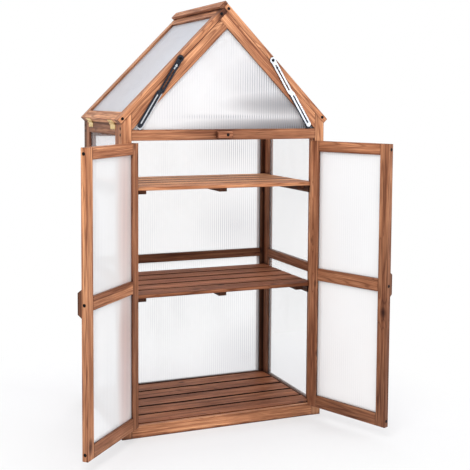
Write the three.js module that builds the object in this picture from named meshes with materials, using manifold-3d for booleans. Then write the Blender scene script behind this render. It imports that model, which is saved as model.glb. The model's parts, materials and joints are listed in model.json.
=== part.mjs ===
// Wooden mini greenhouse: a tall cabinet with two doors, three slatted shelves and a
// pitched roof whose two halves lift on stays. Millimetres, +Z up, front towards -Y.
import * as THREE from 'three';
import { mergeVertices } from 'three/addons/utils/BufferGeometryUtils.js';
import Module from 'manifold-3d';

const wasm = await Module();
wasm.setup();

// Overall size of the cabinet
const WIDTH = 700;
const DEPTH = 450;
const EAVE_HEIGHT = 988.5;
const ROOF_PITCH = THREE.MathUtils.degToRad(45.3);

// Timber sections
const POST_SIZE = 33;
const FRAME_THICKNESS = 18.5;
const FRAME_MEMBER = 35;
const EDGE_EASE = 1.2;

// Clearances
const SEAT_GAP = 0.3;
const ROOF_SEAT = 0.4;
const CUT_OVERRUN = 5;

// Twin-wall sheets, held in grooves half way through the timber
const SHEET_THICKNESS = 4;
const GROOVE_DEPTH = 6;
const GROOVE_GAP = 0.3;

// Rails of the front and the rear
const BOTTOM_RAIL_HEIGHT = 38.5;
const TOP_RAIL_BELOW_EAVE = 51.5;
const TOP_RAIL_HEIGHT = 34;
const REAR_MID_RAIL_BOTTOM = 479;
const REAR_MID_RAIL_HEIGHT = 30;
const RAFTER_WIDTH = 36.5;

// Side frames between the posts
const SIDE_TOP_RAIL_BELOW_EAVE = 36.5;
const SIDE_MID_RAIL_BOTTOM = 479;
const SIDE_MID_RAIL_HEIGHT = 31;

// Doors
const DOOR_SILL_GAP = 2;
const DOOR_HEAD_GAP = 6;
const DOOR_MID_RAIL_BOTTOM = 469;
const DOOR_MID_RAIL_HEIGHT = 40.4;
const DOOR_BOTTOM_RAIL_HEIGHT = 40;
const DOOR_MEETING_GAP = 3;
const DOOR_POST_GAP = 3.8;
const DOOR_AXIS_INSET = 2.8;
const DOOR_AXIS_FORWARD = 1.5;
const LEFT_DOOR_OPEN = THREE.MathUtils.degToRad(135);
const RIGHT_DOOR_OPEN = THREE.MathUtils.degToRad(112.4);

// Door handles, wooden blocks with a sloped top and bottom
const HANDLE_HEIGHT = 86;
const HANDLE_WIDTH = 20;
const HANDLE_DEPTH = 15;
const HANDLE_TAPER = 12;
const HANDLE_EDGE_INSET = 5;
const HANDLE_CENTRE_HEIGHT = 491;

// Butt hinges; the leaves at the eaves have a lobed lower edge
const HINGE_LENGTH = 53;
const HINGE_LEAF = 1.2;
const HINGE_KNUCKLES = 5;
const KNUCKLE_GAP = 0.4;
const HINGE_PIN_RADIUS = 1.2;
const BARREL_SIDES = 16;
const DOOR_BARREL_RADIUS = 2;
const DOOR_HINGE_LEAF_WIDTH = 15;
const DOOR_HINGE_END_INSET = 95;
const EAVE_BARREL_RADIUS = 2.4;
const EAVE_HINGE_LEAF_HEIGHT = 18;
const EAVE_HINGE_LOBES = 3;
const EAVE_HINGE_LOBE_DEPTH = 5;
const EAVE_HINGE_LOBE_GAP = 1.2;
const EAVE_HINGE_END_INSET = 92;
const EAVE_AXIS_OUT = 3;
const EAVE_AXIS_DROP = 1;

// Shelves
const SLAT_THICKNESS = 11;
const SHELF_SLATS = 5;
const SLAT_GAP = 7;
const SHELF_SIDE_GAP = 1.5;
const SHELF_POST_GAP = 1;
const BATTEN_THICKNESS = 11;
const BATTEN_WIDTH = 27;
const BATTEN_END_INSET = 40;
const MIDDLE_BATTEN_OFFSET = 3;
const BOTTOM_SHELF_TOP = BOTTOM_RAIL_HEIGHT;
const BOTTOM_SHELF_FRONT = 26;
const MIDDLE_SHELF_TOP = 451;
const UPPER_SHELF_TOP = 791;
const RAISED_SHELF_FRONT = 20;
const SHELF_REAR_GAP = 8;
const CLEAT_HEIGHT = 24.5;
const CLEAT_THICKNESS = 18.5;

// Ridge cap
const CAP_WIDTH = 27;
const CAP_THICKNESS = 11;
const CAP_OVERHANG = 2;
const RIDGE_GAP = 1;

// Turn button over the doors
const BUTTON_LEFT_OF_MIDDLE = 3;
const BUTTON_LONG_ARM = 34;
const BUTTON_SHORT_ARM = 17;
const BUTTON_WIDTH = 22;
const BUTTON_THICKNESS = 17;
const BUTTON_CORNER = 4;
const BUTTON_ABOVE_RAIL_BOTTOM = 16.6;
const BUTTON_STUD_RADIUS = 2.5;
const BUTTON_STUD_DEPTH = 12;

// Roof stays: a slotted arm with a joggle, and a straight arm that slides behind it
const STAY_TOP_FROM_EAVE = 279;
const STAY_TOP_FROM_UNDERSIDE = 7.6;
const STAY_FOOT_FROM_POST = 26;
const STAY_FOOT_RISE = 7;
const STAY_PLATE = 1.5;
const STAY_LAYER_GAP = 0.3;
const STAY_FACE_GAP = 0.5;
const STAY_HALF_WIDTH = 8.3;
const STAY_HEAD_RADIUS = 10.5;
const STAY_JOG = 4;
const STAY_JOG_START = 118;
const STAY_JOG_LENGTH = 12;
const STAY_SLOT_HALF_WIDTH = 2.4;
const STAY_SLOT_START = 20;
const STAY_SLOT_MARGIN = 7;
const STAY_END_SHORT = 6;
const STAY_REAR_HALF_WIDTH = 7;
const STAY_RIVET_FROM_TOP = 28;
const STAY_RIVET_RADIUS = 2;
const STAY_RIVET_HEAD_RADIUS = 3.6;
const STAY_RIVET_HEAD = 1.2;
const STAY_STUD_RADIUS = 2.2;
const STAY_STUD_DEPTH = 12;
const STAY_SHOULDER_RADIUS = 4;
const STAY_PIVOT_HOLE_RADIUS = 2.5;
const FOOT_HALF_WIDTH = 6;
const FOOT_PLATE = 1.5;
const FOOT_DEPTH = 6;
const ARC_STEPS = 6;
const ROUND_SIDES = 20;

// Positions worked out from the sizes above
const HALF_WIDTH = WIDTH / 2;
const POST_INNER = HALF_WIDTH - POST_SIZE;
const SIDE_INNER = HALF_WIDTH - FRAME_THICKNESS;
const REAR_PLANE = DEPTH - POST_SIZE;
const SHELF_BACK = REAR_PLANE - SHELF_REAR_GAP;
const PITCH_TAN = Math.tan(ROOF_PITCH);
const PITCH_COS = Math.cos(ROOF_PITCH);
const PITCH_SIN = Math.sin(ROOF_PITCH);
const APEX = EAVE_HEIGHT + HALF_WIDTH * PITCH_TAN;
const SLOPE_LENGTH = HALF_WIDTH / PITCH_COS;
const TIMBER_APEX = APEX - ROOF_SEAT / PITCH_COS;
const RAFTER_DROP = RAFTER_WIDTH / PITCH_COS;
const TOP_RAIL_BOTTOM = EAVE_HEIGHT - TOP_RAIL_BELOW_EAVE;
const TOP_RAIL_TOP = TOP_RAIL_BOTTOM + TOP_RAIL_HEIGHT;
const SIDE_TOP_RAIL_BOTTOM = EAVE_HEIGHT - SIDE_TOP_RAIL_BELOW_EAVE;
const DOOR_BOTTOM = BOTTOM_RAIL_HEIGHT + DOOR_SILL_GAP;
const DOOR_TOP = TOP_RAIL_BOTTOM - DOOR_HEAD_GAP;
const BUTTON_HEIGHT = TOP_RAIL_BOTTOM + BUTTON_ABOVE_RAIL_BOTTOM;
const STAY_FOOT_OUT = POST_INNER - STAY_FOOT_FROM_POST;
const SHEET_INSET = (FRAME_THICKNESS - SHEET_THICKNESS) / 2;
const SIDES = [['left', -1], ['right', 1]];
const LEVELS = [['upper', 1], ['lower', 0]];

// Materials
const wood = (colour) => new THREE.MeshStandardMaterial({ color: colour, roughness: 0.6 });
const sheet = () => new THREE.MeshStandardMaterial({
  color: 0xeef3f5,
  roughness: 0.35,
  transparent: true,
  opacity: 0.75,
});
const brass = () => new THREE.MeshStandardMaterial({ color: 0xc9a04a, roughness: 0.35, metalness: 1 });
const steel = (colour) => new THREE.MeshStandardMaterial({ color: colour, roughness: 0.35, metalness: 1 });
const FRAME_COLOUR = 0xc07c52;
const SHELF_COLOUR = 0x8f5034;
const TRIM_COLOUR = 0xb06c46;
const STAY_COLOUR = 0x4a4f55;

// Solid helpers
function toSolid(geometry) {
  const bare = geometry.clone();
  bare.deleteAttribute('normal');
  bare.deleteAttribute('uv');
  const merged = mergeVertices(bare, 1e-5);
  const vertProperties = new Float32Array(merged.attributes.position.array);
  const triVerts = new Uint32Array(merged.index.array);
  return new wasm.Manifold(new wasm.Mesh({ numProp: 3, vertProperties, triVerts }));
}

function toGeometry(solid) {
  const mesh = solid.getMesh();
  const geometry = new THREE.BufferGeometry();
  geometry.setAttribute('position', new THREE.BufferAttribute(new Float32Array(mesh.vertProperties), 3));
  geometry.setIndex(new THREE.BufferAttribute(new Uint32Array(mesh.triVerts), 1));
  geometry.computeVertexNormals();
  return geometry;
}

function join(geometries) {
  const [first, ...others] = geometries.map(toSolid);
  return toGeometry(others.reduce((sum, solid) => sum.add(solid), first));
}

function cut(geometry, cutters) {
  return toGeometry(cutters.map(toSolid).reduce((rest, solid) => rest.subtract(solid), toSolid(geometry)));
}

// A plain box between two corners
function box([x0, x1], [y0, y1], [z0, z1]) {
  const geometry = new THREE.BoxGeometry(x1 - x0, y1 - y0, z1 - z0);
  return geometry.translate((x0 + x1) / 2, (y0 + y1) / 2, (z0 + z1) / 2);
}

// Axes that lay a flat section out and run it along X, Y or Z
const AXIS_X = new THREE.Vector3(1, 0, 0);
const AXIS_Y = new THREE.Vector3(0, 1, 0);
const AXIS_Z = new THREE.Vector3(0, 0, 1);
const RUNS = {
  x: new THREE.Matrix4().makeBasis(AXIS_Y, AXIS_Z, AXIS_X),
  y: new THREE.Matrix4().makeBasis(AXIS_Z, AXIS_X, AXIS_Y),
  z: new THREE.Matrix4().makeBasis(AXIS_X, AXIS_Y, AXIS_Z),
};

function shapeOf(points) {
  return new THREE.Shape(points.map(([u, v]) => new THREE.Vector2(u, v)));
}

// A planed board: a rectangle with eased long edges, run along one axis
function board(run, xs, ys, zs) {
  const spans = { x: [ys, zs, xs], y: [zs, xs, ys], z: [xs, ys, zs] };
  const [[u0, u1], [v0, v1], [w0, w1]] = spans[run];
  const ease = EDGE_EASE;
  const section = shapeOf([
    [u0 + ease, v0], [u1 - ease, v0], [u1, v0 + ease], [u1, v1 - ease],
    [u1 - ease, v1], [u0 + ease, v1], [u0, v1 - ease], [u0, v0 + ease],
  ]);
  const geometry = new THREE.ExtrudeGeometry(section, { depth: w1 - w0, bevelEnabled: false });
  geometry.translate(0, 0, w0);
  return geometry.applyMatrix4(RUNS[run]);
}

// A flat shape drawn in X and Z, as seen from the front, with its thickness along Y
function plate(shape, [y0, y1], curveSegments = ARC_STEPS) {
  const geometry = new THREE.ExtrudeGeometry(shape, { depth: y1 - y0, bevelEnabled: false, curveSegments });
  geometry.applyMatrix4(new THREE.Matrix4().makeBasis(AXIS_X, AXIS_Z, AXIS_Y.clone().negate()));
  return geometry.translate(0, y1, 0);
}

// A round bar along Y or Z
function barAlongY(radius, x, z, [y0, y1], sides = ROUND_SIDES) {
  return new THREE.CylinderGeometry(radius, radius, y1 - y0, sides).translate(x, (y0 + y1) / 2, z);
}

function barAlongZ(radius, x, y, [z0, z1], sides = ROUND_SIDES) {
  const geometry = new THREE.CylinderGeometry(radius, radius, z1 - z0, sides);
  return geometry.rotateX(Math.PI / 2).translate(x, y, (z0 + z1) / 2);
}

// The range from a to b put in rising order, for pieces mirrored left to right
const span = (a, b) => [Math.min(a, b), Math.max(a, b)];

const greenhouse = new THREE.Group();
greenhouse.position.y = -FRAME_THICKNESS / 2;

function add(name, geometry, material, parent = greenhouse) {
  const mesh = new THREE.Mesh(geometry, material);
  mesh.name = name;
  parent.add(mesh);
  return mesh;
}

// Sheets and their grooves: grow is the clearance of the groove round the sheet

const sheetY = (plane, grow) => [plane + SHEET_INSET - grow, plane + SHEET_INSET + SHEET_THICKNESS + grow];

function gableSheet(plane, grow) {
  const reach = GROOVE_DEPTH + grow;
  const peak = TIMBER_APEX - RAFTER_DROP + reach / PITCH_COS;
  const bottom = TOP_RAIL_TOP - reach;
  const side = POST_INNER - SEAT_GAP + grow;
  const shoulder = peak - side * PITCH_TAN;
  const outline = [[0, peak], [-side, shoulder], [-side, bottom], [side, bottom], [side, shoulder]];
  return plate(shapeOf(outline), sheetY(plane, grow));
}

function rearSheet(level, grow) {
  const reach = GROOVE_DEPTH + grow;
  const openings = [
    [BOTTOM_RAIL_HEIGHT, REAR_MID_RAIL_BOTTOM],
    [REAR_MID_RAIL_BOTTOM + REAR_MID_RAIL_HEIGHT, TOP_RAIL_BOTTOM],
  ];
  const [low, high] = openings[level];
  const xs = [-POST_INNER - reach, POST_INNER + reach];
  return box(xs, sheetY(REAR_PLANE, grow), [low - reach, high + reach]);
}

// Posts, with their tops cut to the pitch of the roof
function post(side, isRear) {
  const [inner, outer] = [side * POST_INNER, side * HALF_WIDTH];
  const innerTop = TIMBER_APEX - POST_INNER * PITCH_TAN;
  const outerTop = TIMBER_APEX - HALF_WIDTH * PITCH_TAN;
  const ys = isRear ? [REAR_PLANE, DEPTH] : [0, POST_SIZE];
  const blank = board('z', span(inner, outer), ys, [0, innerTop]);
  const waste = shapeOf([
    [outer + side * CUT_OVERRUN, outerTop - CUT_OVERRUN * PITCH_TAN],
    [inner - side * CUT_OVERRUN, innerTop + CUT_OVERRUN * PITCH_TAN],
    [outer + side * CUT_OVERRUN, innerTop + CUT_OVERRUN * PITCH_TAN],
  ]);
  const cutters = [plate(waste, [ys[0] - CUT_OVERRUN, ys[1] + CUT_OVERRUN])];
  if (isRear) {
    cutters.push(rearSheet(0, GROOVE_GAP), rearSheet(1, GROOVE_GAP));
  }
  return cut(blank, cutters);
}

function addPosts() {
  for (const [name, side] of SIDES) {
    add(`post_front_${name}`, post(side, false), wood(FRAME_COLOUR));
    add(`post_rear_${name}`, post(side, true), wood(FRAME_COLOUR));
  }
}

// Cross rails between the posts
function rail(plane, zs, cutters) {
  const blank = board('x', [-POST_INNER, POST_INNER], [plane, plane + FRAME_THICKNESS], zs);
  return cutters.length ? cut(blank, cutters) : blank;
}

function addRails() {
  const bottom = [0, BOTTOM_RAIL_HEIGHT];
  const middle = [REAR_MID_RAIL_BOTTOM, REAR_MID_RAIL_BOTTOM + REAR_MID_RAIL_HEIGHT];
  const top = [TOP_RAIL_BOTTOM, TOP_RAIL_TOP];
  const stud = [-CUT_OVERRUN, BUTTON_STUD_DEPTH + SEAT_GAP];
  const studHole = barAlongY(BUTTON_STUD_RADIUS + SEAT_GAP, -BUTTON_LEFT_OF_MIDDLE, BUTTON_HEIGHT, stud);
  const lowerSheet = rearSheet(0, GROOVE_GAP);
  const upperSheet = rearSheet(1, GROOVE_GAP);
  add('front_bottom_rail', rail(0, bottom, []), wood(FRAME_COLOUR));
  add('front_top_rail', rail(0, top, [gableSheet(0, GROOVE_GAP), studHole]), wood(FRAME_COLOUR));
  add('rear_bottom_rail', rail(REAR_PLANE, bottom, [lowerSheet]), wood(FRAME_COLOUR));
  add('rear_mid_rail', rail(REAR_PLANE, middle, [lowerSheet, upperSheet]), wood(FRAME_COLOUR));
  const rearGable = gableSheet(REAR_PLANE, GROOVE_GAP);
  add('rear_top_rail', rail(REAR_PLANE, top, [upperSheet, rearGable]), wood(FRAME_COLOUR));
}

// Rafters: the right one runs through at the ridge and the left one butts against it
function rafter(side, plane) {
  const lower = TIMBER_APEX - RAFTER_DROP;
  const crossing = RAFTER_DROP / (2 * PITCH_TAN);
  const footX = (lower - TOP_RAIL_TOP) / PITCH_TAN;
  const heel = TIMBER_APEX - POST_INNER * PITCH_TAN;
  const foot = [[side * POST_INNER, heel], [side * POST_INNER, TOP_RAIL_TOP], [side * footX, TOP_RAIL_TOP]];
  const butt = SEAT_GAP / PITCH_COS;
  const head = side > 0
    ? [[-crossing, TIMBER_APEX - RAFTER_DROP / 2], [0, TIMBER_APEX]]
    : [[0, lower - butt], [-crossing, TIMBER_APEX - RAFTER_DROP / 2 - butt]];
  const blank = plate(shapeOf([...foot, ...head]), [plane, plane + FRAME_THICKNESS]);
  return cut(blank, [gableSheet(plane, GROOVE_GAP)]);
}

function addGables() {
  for (const [end, plane] of [['front', 0], ['rear', REAR_PLANE]]) {
    for (const [name, side] of SIDES) {
      add(`rafter_${end}_${name}`, rafter(side, plane), wood(FRAME_COLOUR));
    }
    add(`gable_sheet_${end}`, gableSheet(plane, 0), sheet());
  }
  for (const [level, index] of LEVELS) {
    add(`rear_sheet_${level}`, rearSheet(index, 0), sheet());
  }
}

// Side frames: two stiles and three rails glued up, with a sheet above and one below
function sideSheet(side, level, grow) {
  const reach = GROOVE_DEPTH + grow;
  const openings = [
    [BOTTOM_RAIL_HEIGHT, SIDE_MID_RAIL_BOTTOM],
    [SIDE_MID_RAIL_BOTTOM + SIDE_MID_RAIL_HEIGHT, SIDE_TOP_RAIL_BOTTOM],
  ];
  const [low, high] = openings[level];
  const inner = SIDE_INNER + SHEET_INSET;
  const xs = span(side * (inner - grow), side * (inner + SHEET_THICKNESS + grow));
  const front = POST_SIZE + FRAME_MEMBER - reach;
  return box(xs, [front, DEPTH - front], [low - reach, high + reach]);
}

function sideFrame(side) {
  const xs = span(side * SIDE_INNER, side * HALF_WIDTH);
  const top = TIMBER_APEX - HALF_WIDTH * PITCH_TAN;
  const stileFront = [POST_SIZE, POST_SIZE + FRAME_MEMBER];
  const stileRear = [REAR_PLANE - FRAME_MEMBER, REAR_PLANE];
  const between = [stileFront[1] - EDGE_EASE, stileRear[0] + EDGE_EASE];
  const rails = [
    [0, BOTTOM_RAIL_HEIGHT],
    [SIDE_MID_RAIL_BOTTOM, SIDE_MID_RAIL_BOTTOM + SIDE_MID_RAIL_HEIGHT],
    [SIDE_TOP_RAIL_BOTTOM, top],
  ];
  const members = [
    board('z', xs, stileFront, [0, top]),
    board('z', xs, stileRear, [0, top]),
    ...rails.map((zs) => board('y', xs, between, zs)),
  ];
  return cut(join(members), LEVELS.map(([, index]) => sideSheet(side, index, GROOVE_GAP)));
}

function addSides() {
  for (const [name, side] of SIDES) {
    add(`side_frame_${name}`, sideFrame(side), wood(FRAME_COLOUR));
    for (const [level, index] of LEVELS) {
      add(`side_sheet_${name}_${level}`, sideSheet(side, index, 0), sheet());
    }
  }
}

// Shelves: slats across the cabinet, screwed to battens that run front to back.
// The raised shelves lie with their slats' ends on cleats along the side walls.
function shelf(top, front, battenYs) {
  const reach = SIDE_INNER - SHELF_SIDE_GAP;
  const pitch = (SHELF_BACK - front + SLAT_GAP) / SHELF_SLATS;
  const slatBottom = top - SLAT_THICKNESS;
  const slats = Array.from({ length: SHELF_SLATS }, (_, index) => {
    const start = front + index * pitch;
    return board('x', [-reach, reach], [start, start + pitch - SLAT_GAP], [slatBottom, top]);
  });
  const battenCentre = reach - BATTEN_END_INSET - BATTEN_WIDTH / 2;
  const battens = [-battenCentre, -MIDDLE_BATTEN_OFFSET, battenCentre].map((centre) => {
    const xs = [centre - BATTEN_WIDTH / 2, centre + BATTEN_WIDTH / 2];
    return box(xs, battenYs, [slatBottom - BATTEN_THICKNESS, slatBottom]);
  });
  const notches = SIDES.map(([, side]) => {
    const xs = span(side * (POST_INNER - SHELF_POST_GAP), side * HALF_WIDTH);
    return box(xs, [0, POST_SIZE + SHELF_POST_GAP], [0, top + CUT_OVERRUN]);
  });
  return cut(join([...slats, ...battens]), notches);
}

function cleat(side, shelfTop) {
  const top = shelfTop - SLAT_THICKNESS;
  const xs = span(side * (SIDE_INNER - CLEAT_THICKNESS), side * SIDE_INNER);
  return board('y', xs, [POST_SIZE, REAR_PLANE], [top - CLEAT_HEIGHT, top]);
}

function addShelves() {
  const bottomBattens = [FRAME_THICKNESS, REAR_PLANE];
  const raisedBattens = [RAISED_SHELF_FRONT, SHELF_BACK];
  add('shelf_bottom', shelf(BOTTOM_SHELF_TOP, BOTTOM_SHELF_FRONT, bottomBattens), wood(SHELF_COLOUR));
  for (const [level, top] of [['middle', MIDDLE_SHELF_TOP], ['upper', UPPER_SHELF_TOP]]) {
    add(`shelf_${level}`, shelf(top, RAISED_SHELF_FRONT, raisedBattens), wood(SHELF_COLOUR));
    for (const [name, side] of SIDES) {
      add(`shelf_cleat_${level}_${name}`, cleat(side, top), wood(SHELF_COLOUR));
    }
  }
}

// Doors, drawn shut round their hinge axis and then swung open
const DOOR_AXIS = POST_INNER - DOOR_AXIS_INSET;
const DOOR_HINGE_EDGE = DOOR_AXIS - POST_INNER + DOOR_POST_GAP;
const DOOR_FREE_EDGE = DOOR_AXIS - DOOR_MEETING_GAP / 2;
const DOOR_MID_RAIL_TOP = DOOR_MID_RAIL_BOTTOM + DOOR_MID_RAIL_HEIGHT;

function doorSheet(side, level, grow) {
  const reach = GROOVE_DEPTH + grow;
  const openings = [
    [DOOR_BOTTOM + DOOR_BOTTOM_RAIL_HEIGHT, DOOR_MID_RAIL_BOTTOM],
    [DOOR_MID_RAIL_TOP, DOOR_TOP - FRAME_MEMBER],
  ];
  const [low, high] = openings[level];
  const inner = DOOR_HINGE_EDGE + FRAME_MEMBER - reach;
  const outer = DOOR_FREE_EDGE - FRAME_MEMBER + reach;
  const xs = span(-side * inner, -side * outer);
  return box(xs, sheetY(DOOR_AXIS_FORWARD, grow), [low - reach, high + reach]);
}

function doorFrame(side) {
  const ys = [DOOR_AXIS_FORWARD, DOOR_AXIS_FORWARD + FRAME_THICKNESS];
  const full = [DOOR_BOTTOM, DOOR_TOP];
  const hingeStile = [DOOR_HINGE_EDGE, DOOR_HINGE_EDGE + FRAME_MEMBER];
  const freeStile = [DOOR_FREE_EDGE - FRAME_MEMBER, DOOR_FREE_EDGE];
  const between = span(-side * (hingeStile[1] - EDGE_EASE), -side * (freeStile[0] + EDGE_EASE));
  const rails = [
    [DOOR_BOTTOM, DOOR_BOTTOM + DOOR_BOTTOM_RAIL_HEIGHT],
    [DOOR_MID_RAIL_BOTTOM, DOOR_MID_RAIL_TOP],
    [DOOR_TOP - FRAME_MEMBER, DOOR_TOP],
  ];
  const stiles = [hingeStile, freeStile].map(([a, b]) => board('z', span(-side * a, -side * b), ys, full));
  const members = [...stiles, ...rails.map((zs) => board('x', between, ys, zs))];
  return cut(join(members), LEVELS.map(([, index]) => doorSheet(side, index, GROOVE_GAP)));
}

// A handle block: full depth in the middle, sloping back to the door at both ends
function doorHandle(side) {
  const outer = DOOR_FREE_EDGE - HANDLE_EDGE_INSET;
  const xs = span(-side * outer, -side * (outer - HANDLE_WIDTH));
  const back = DOOR_AXIS_FORWARD - SEAT_GAP;
  const front = back - HANDLE_DEPTH;
  const [low, high] = [HANDLE_CENTRE_HEIGHT - HANDLE_HEIGHT / 2, HANDLE_CENTRE_HEIGHT + HANDLE_HEIGHT / 2];
  const profile = shapeOf([
    [back, low], [back, high], [front, high - HANDLE_TAPER], [front, low + HANDLE_TAPER],
  ]);
  const geometry = new THREE.ExtrudeGeometry(profile, { depth: HANDLE_WIDTH, bevelEnabled: false });
  return geometry.applyMatrix4(RUNS.x).translate(xs[0], 0, 0);
}

function addDoors() {
  const openings = { left: LEFT_DOOR_OPEN, right: RIGHT_DOOR_OPEN };
  for (const [name, side] of SIDES) {
    const leaf = new THREE.Group();
    leaf.position.set(side * DOOR_AXIS, -DOOR_AXIS_FORWARD, 0);
    leaf.rotation.z = side * openings[name];
    greenhouse.add(leaf);
    add(`door_frame_${name}`, doorFrame(side), wood(FRAME_COLOUR), leaf);
    for (const [level, index] of LEVELS) {
      add(`door_sheet_${name}_${level}`, doorSheet(side, index, 0), sheet(), leaf);
    }
    add(`door_handle_${name}`, doorHandle(side), wood(TRIM_COLOUR), leaf);
  }
}

// Hinges: the leaf on the cabinet with its knuckles, the gaps between them left for the other leaf
function knuckleGaps(start) {
  const step = HINGE_LENGTH / HINGE_KNUCKLES;
  const free = Array.from({ length: HINGE_KNUCKLES }, (_, index) => index).filter((index) => index % 2 === 1);
  return free.map((index) => [start + index * step - KNUCKLE_GAP, start + (index + 1) * step + KNUCKLE_GAP]);
}

function doorHinge(side, zStart) {
  const zs = [zStart, zStart + HINGE_LENGTH];
  const [x, y] = [side * DOOR_AXIS, -DOOR_AXIS_FORWARD];
  const leaf = box(span(side * (POST_INNER - HINGE_LEAF), side * POST_INNER), [y, DOOR_HINGE_LEAF_WIDTH], zs);
  const barrel = barAlongZ(DOOR_BARREL_RADIUS, x, y, zs, BARREL_SIDES);
  const reach = DOOR_BARREL_RADIUS + CUT_OVERRUN;
  const gaps = knuckleGaps(zStart).map((gap) => {
    return box([x - reach, x + reach], [y - reach, y + DOOR_BARREL_RADIUS], gap);
  });
  const pin = barAlongZ(HINGE_PIN_RADIUS, x, y, zs, BARREL_SIDES);
  return join([cut(join([leaf, barrel]), gaps), pin]);
}

// The outline of an eave leaf in Y and Z, with round lobes along its lower edge
function lobedLeaf([y0, y1], top) {
  const shape = new THREE.Shape();
  const step = (y1 - y0) / EAVE_HINGE_LOBES;
  const lobe = (step - EAVE_HINGE_LOBE_GAP) / 2;
  const waist = top - EAVE_HINGE_LEAF_HEIGHT + EAVE_HINGE_LOBE_DEPTH;
  shape.moveTo(y0, top);
  shape.lineTo(y0, waist);
  for (let index = 0; index < EAVE_HINGE_LOBES; index += 1) {
    const middle = y0 + (index + 1 / 2) * step;
    shape.absellipse(middle, waist, lobe, EAVE_HINGE_LOBE_DEPTH, Math.PI, 2 * Math.PI, false);
  }
  shape.lineTo(y1, waist);
  shape.lineTo(y1, top);
  return shape;
}

function eaveHinge(side, yStart) {
  const ys = [yStart, yStart + HINGE_LENGTH];
  const [x, z] = [side * (HALF_WIDTH + EAVE_AXIS_OUT), EAVE_HEIGHT - EAVE_AXIS_DROP];
  const profile = { depth: HINGE_LEAF, bevelEnabled: false, curveSegments: ARC_STEPS };
  const leaf = new THREE.ExtrudeGeometry(lobedLeaf(ys, z), profile).applyMatrix4(RUNS.x);
  const [leafStart] = span(side * HALF_WIDTH, side * (HALF_WIDTH + HINGE_LEAF));
  leaf.translate(leafStart, 0, 0);
  const barrel = barAlongY(EAVE_BARREL_RADIUS, x, z, ys, BARREL_SIDES);
  const reach = EAVE_BARREL_RADIUS + CUT_OVERRUN;
  const gaps = knuckleGaps(yStart).map((gap) => {
    return box([x - reach, x + reach], gap, [z - EAVE_BARREL_RADIUS, z + reach]);
  });
  const pin = barAlongY(HINGE_PIN_RADIUS, x, z, ys, BARREL_SIDES);
  return join([cut(join([leaf, barrel]), gaps), pin]);
}

function addHinges() {
  const doorStarts = [['lower', DOOR_BOTTOM + DOOR_HINGE_END_INSET - HINGE_LENGTH / 2]];
  doorStarts.push(['upper', DOOR_TOP - DOOR_HINGE_END_INSET - HINGE_LENGTH / 2]);
  const eaveStarts = [['front', EAVE_HINGE_END_INSET - HINGE_LENGTH / 2]];
  eaveStarts.push(['rear', DEPTH - EAVE_HINGE_END_INSET - HINGE_LENGTH / 2]);
  for (const [name, side] of SIDES) {
    for (const [place, start] of doorStarts) {
      add(`door_hinge_${name}_${place}`, doorHinge(side, start), brass());
    }
    for (const [place, start] of eaveStarts) {
      add(`eave_hinge_${name}_${place}`, eaveHinge(side, start), brass());
    }
  }
}

// Roof halves, drawn flat from the apex down the slope and then pitched.
// The right half runs past the apex and covers the square end of the left half.
const roofTop = (side) => (side > 0 ? -FRAME_THICKNESS : RIDGE_GAP);

function roofSheet(side, grow) {
  const reach = GROOVE_DEPTH + grow;
  const head = roofTop(side) + FRAME_MEMBER - reach;
  const foot = SLOPE_LENGTH - FRAME_MEMBER + reach;
  const front = FRAME_MEMBER - reach;
  const zs = [SHEET_INSET - grow, SHEET_INSET + SHEET_THICKNESS + grow];
  return box(span(side * head, side * foot), [front, DEPTH - front], zs);
}

function roofFrame(side) {
  const zs = [0, FRAME_THICKNESS];
  const head = roofTop(side);
  const rails = [[head, head + FRAME_MEMBER], [SLOPE_LENGTH - FRAME_MEMBER, SLOPE_LENGTH]];
  const between = [FRAME_MEMBER - EDGE_EASE, DEPTH - FRAME_MEMBER + EDGE_EASE];
  const stiles = [[0, FRAME_MEMBER], [DEPTH - FRAME_MEMBER, DEPTH]];
  const members = [
    ...stiles.map((ys) => board('x', span(side * head, side * SLOPE_LENGTH), ys, zs)),
    ...rails.map(([a, b]) => board('y', span(side * a, side * b), between, zs)),
  ];
  const studX = side * (SLOPE_LENGTH - STAY_TOP_FROM_EAVE);
  const studHole = barAlongY(
    STAY_STUD_RADIUS + SEAT_GAP, studX, STAY_TOP_FROM_UNDERSIDE, [-CUT_OVERRUN, STAY_STUD_DEPTH + SEAT_GAP],
  );
  return cut(join(members), [roofSheet(side, GROOVE_GAP), studHole]);
}

// The cap rides on the left half and reaches over the end of the right half
function ridgeCap(side) {
  const far = -FRAME_THICKNESS;
  const zs = [FRAME_THICKNESS + SEAT_GAP, FRAME_THICKNESS + SEAT_GAP + CAP_THICKNESS];
  return board('y', span(side * far, side * (far + CAP_WIDTH)), [-CAP_OVERHANG, DEPTH + CAP_OVERHANG], zs);
}

function addRoof() {
  for (const [name, side] of SIDES) {
    const half = new THREE.Group();
    half.position.set(0, 0, APEX);
    half.rotation.y = side * ROOF_PITCH;
    greenhouse.add(half);
    add(`roof_frame_${name}`, roofFrame(side), wood(FRAME_COLOUR), half);
    add(`roof_sheet_${name}`, roofSheet(side, 0), sheet(), half);
    if (side < 0) {
      add('ridge_cap', ridgeCap(side), wood(FRAME_COLOUR), half);
    }
  }
}

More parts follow.
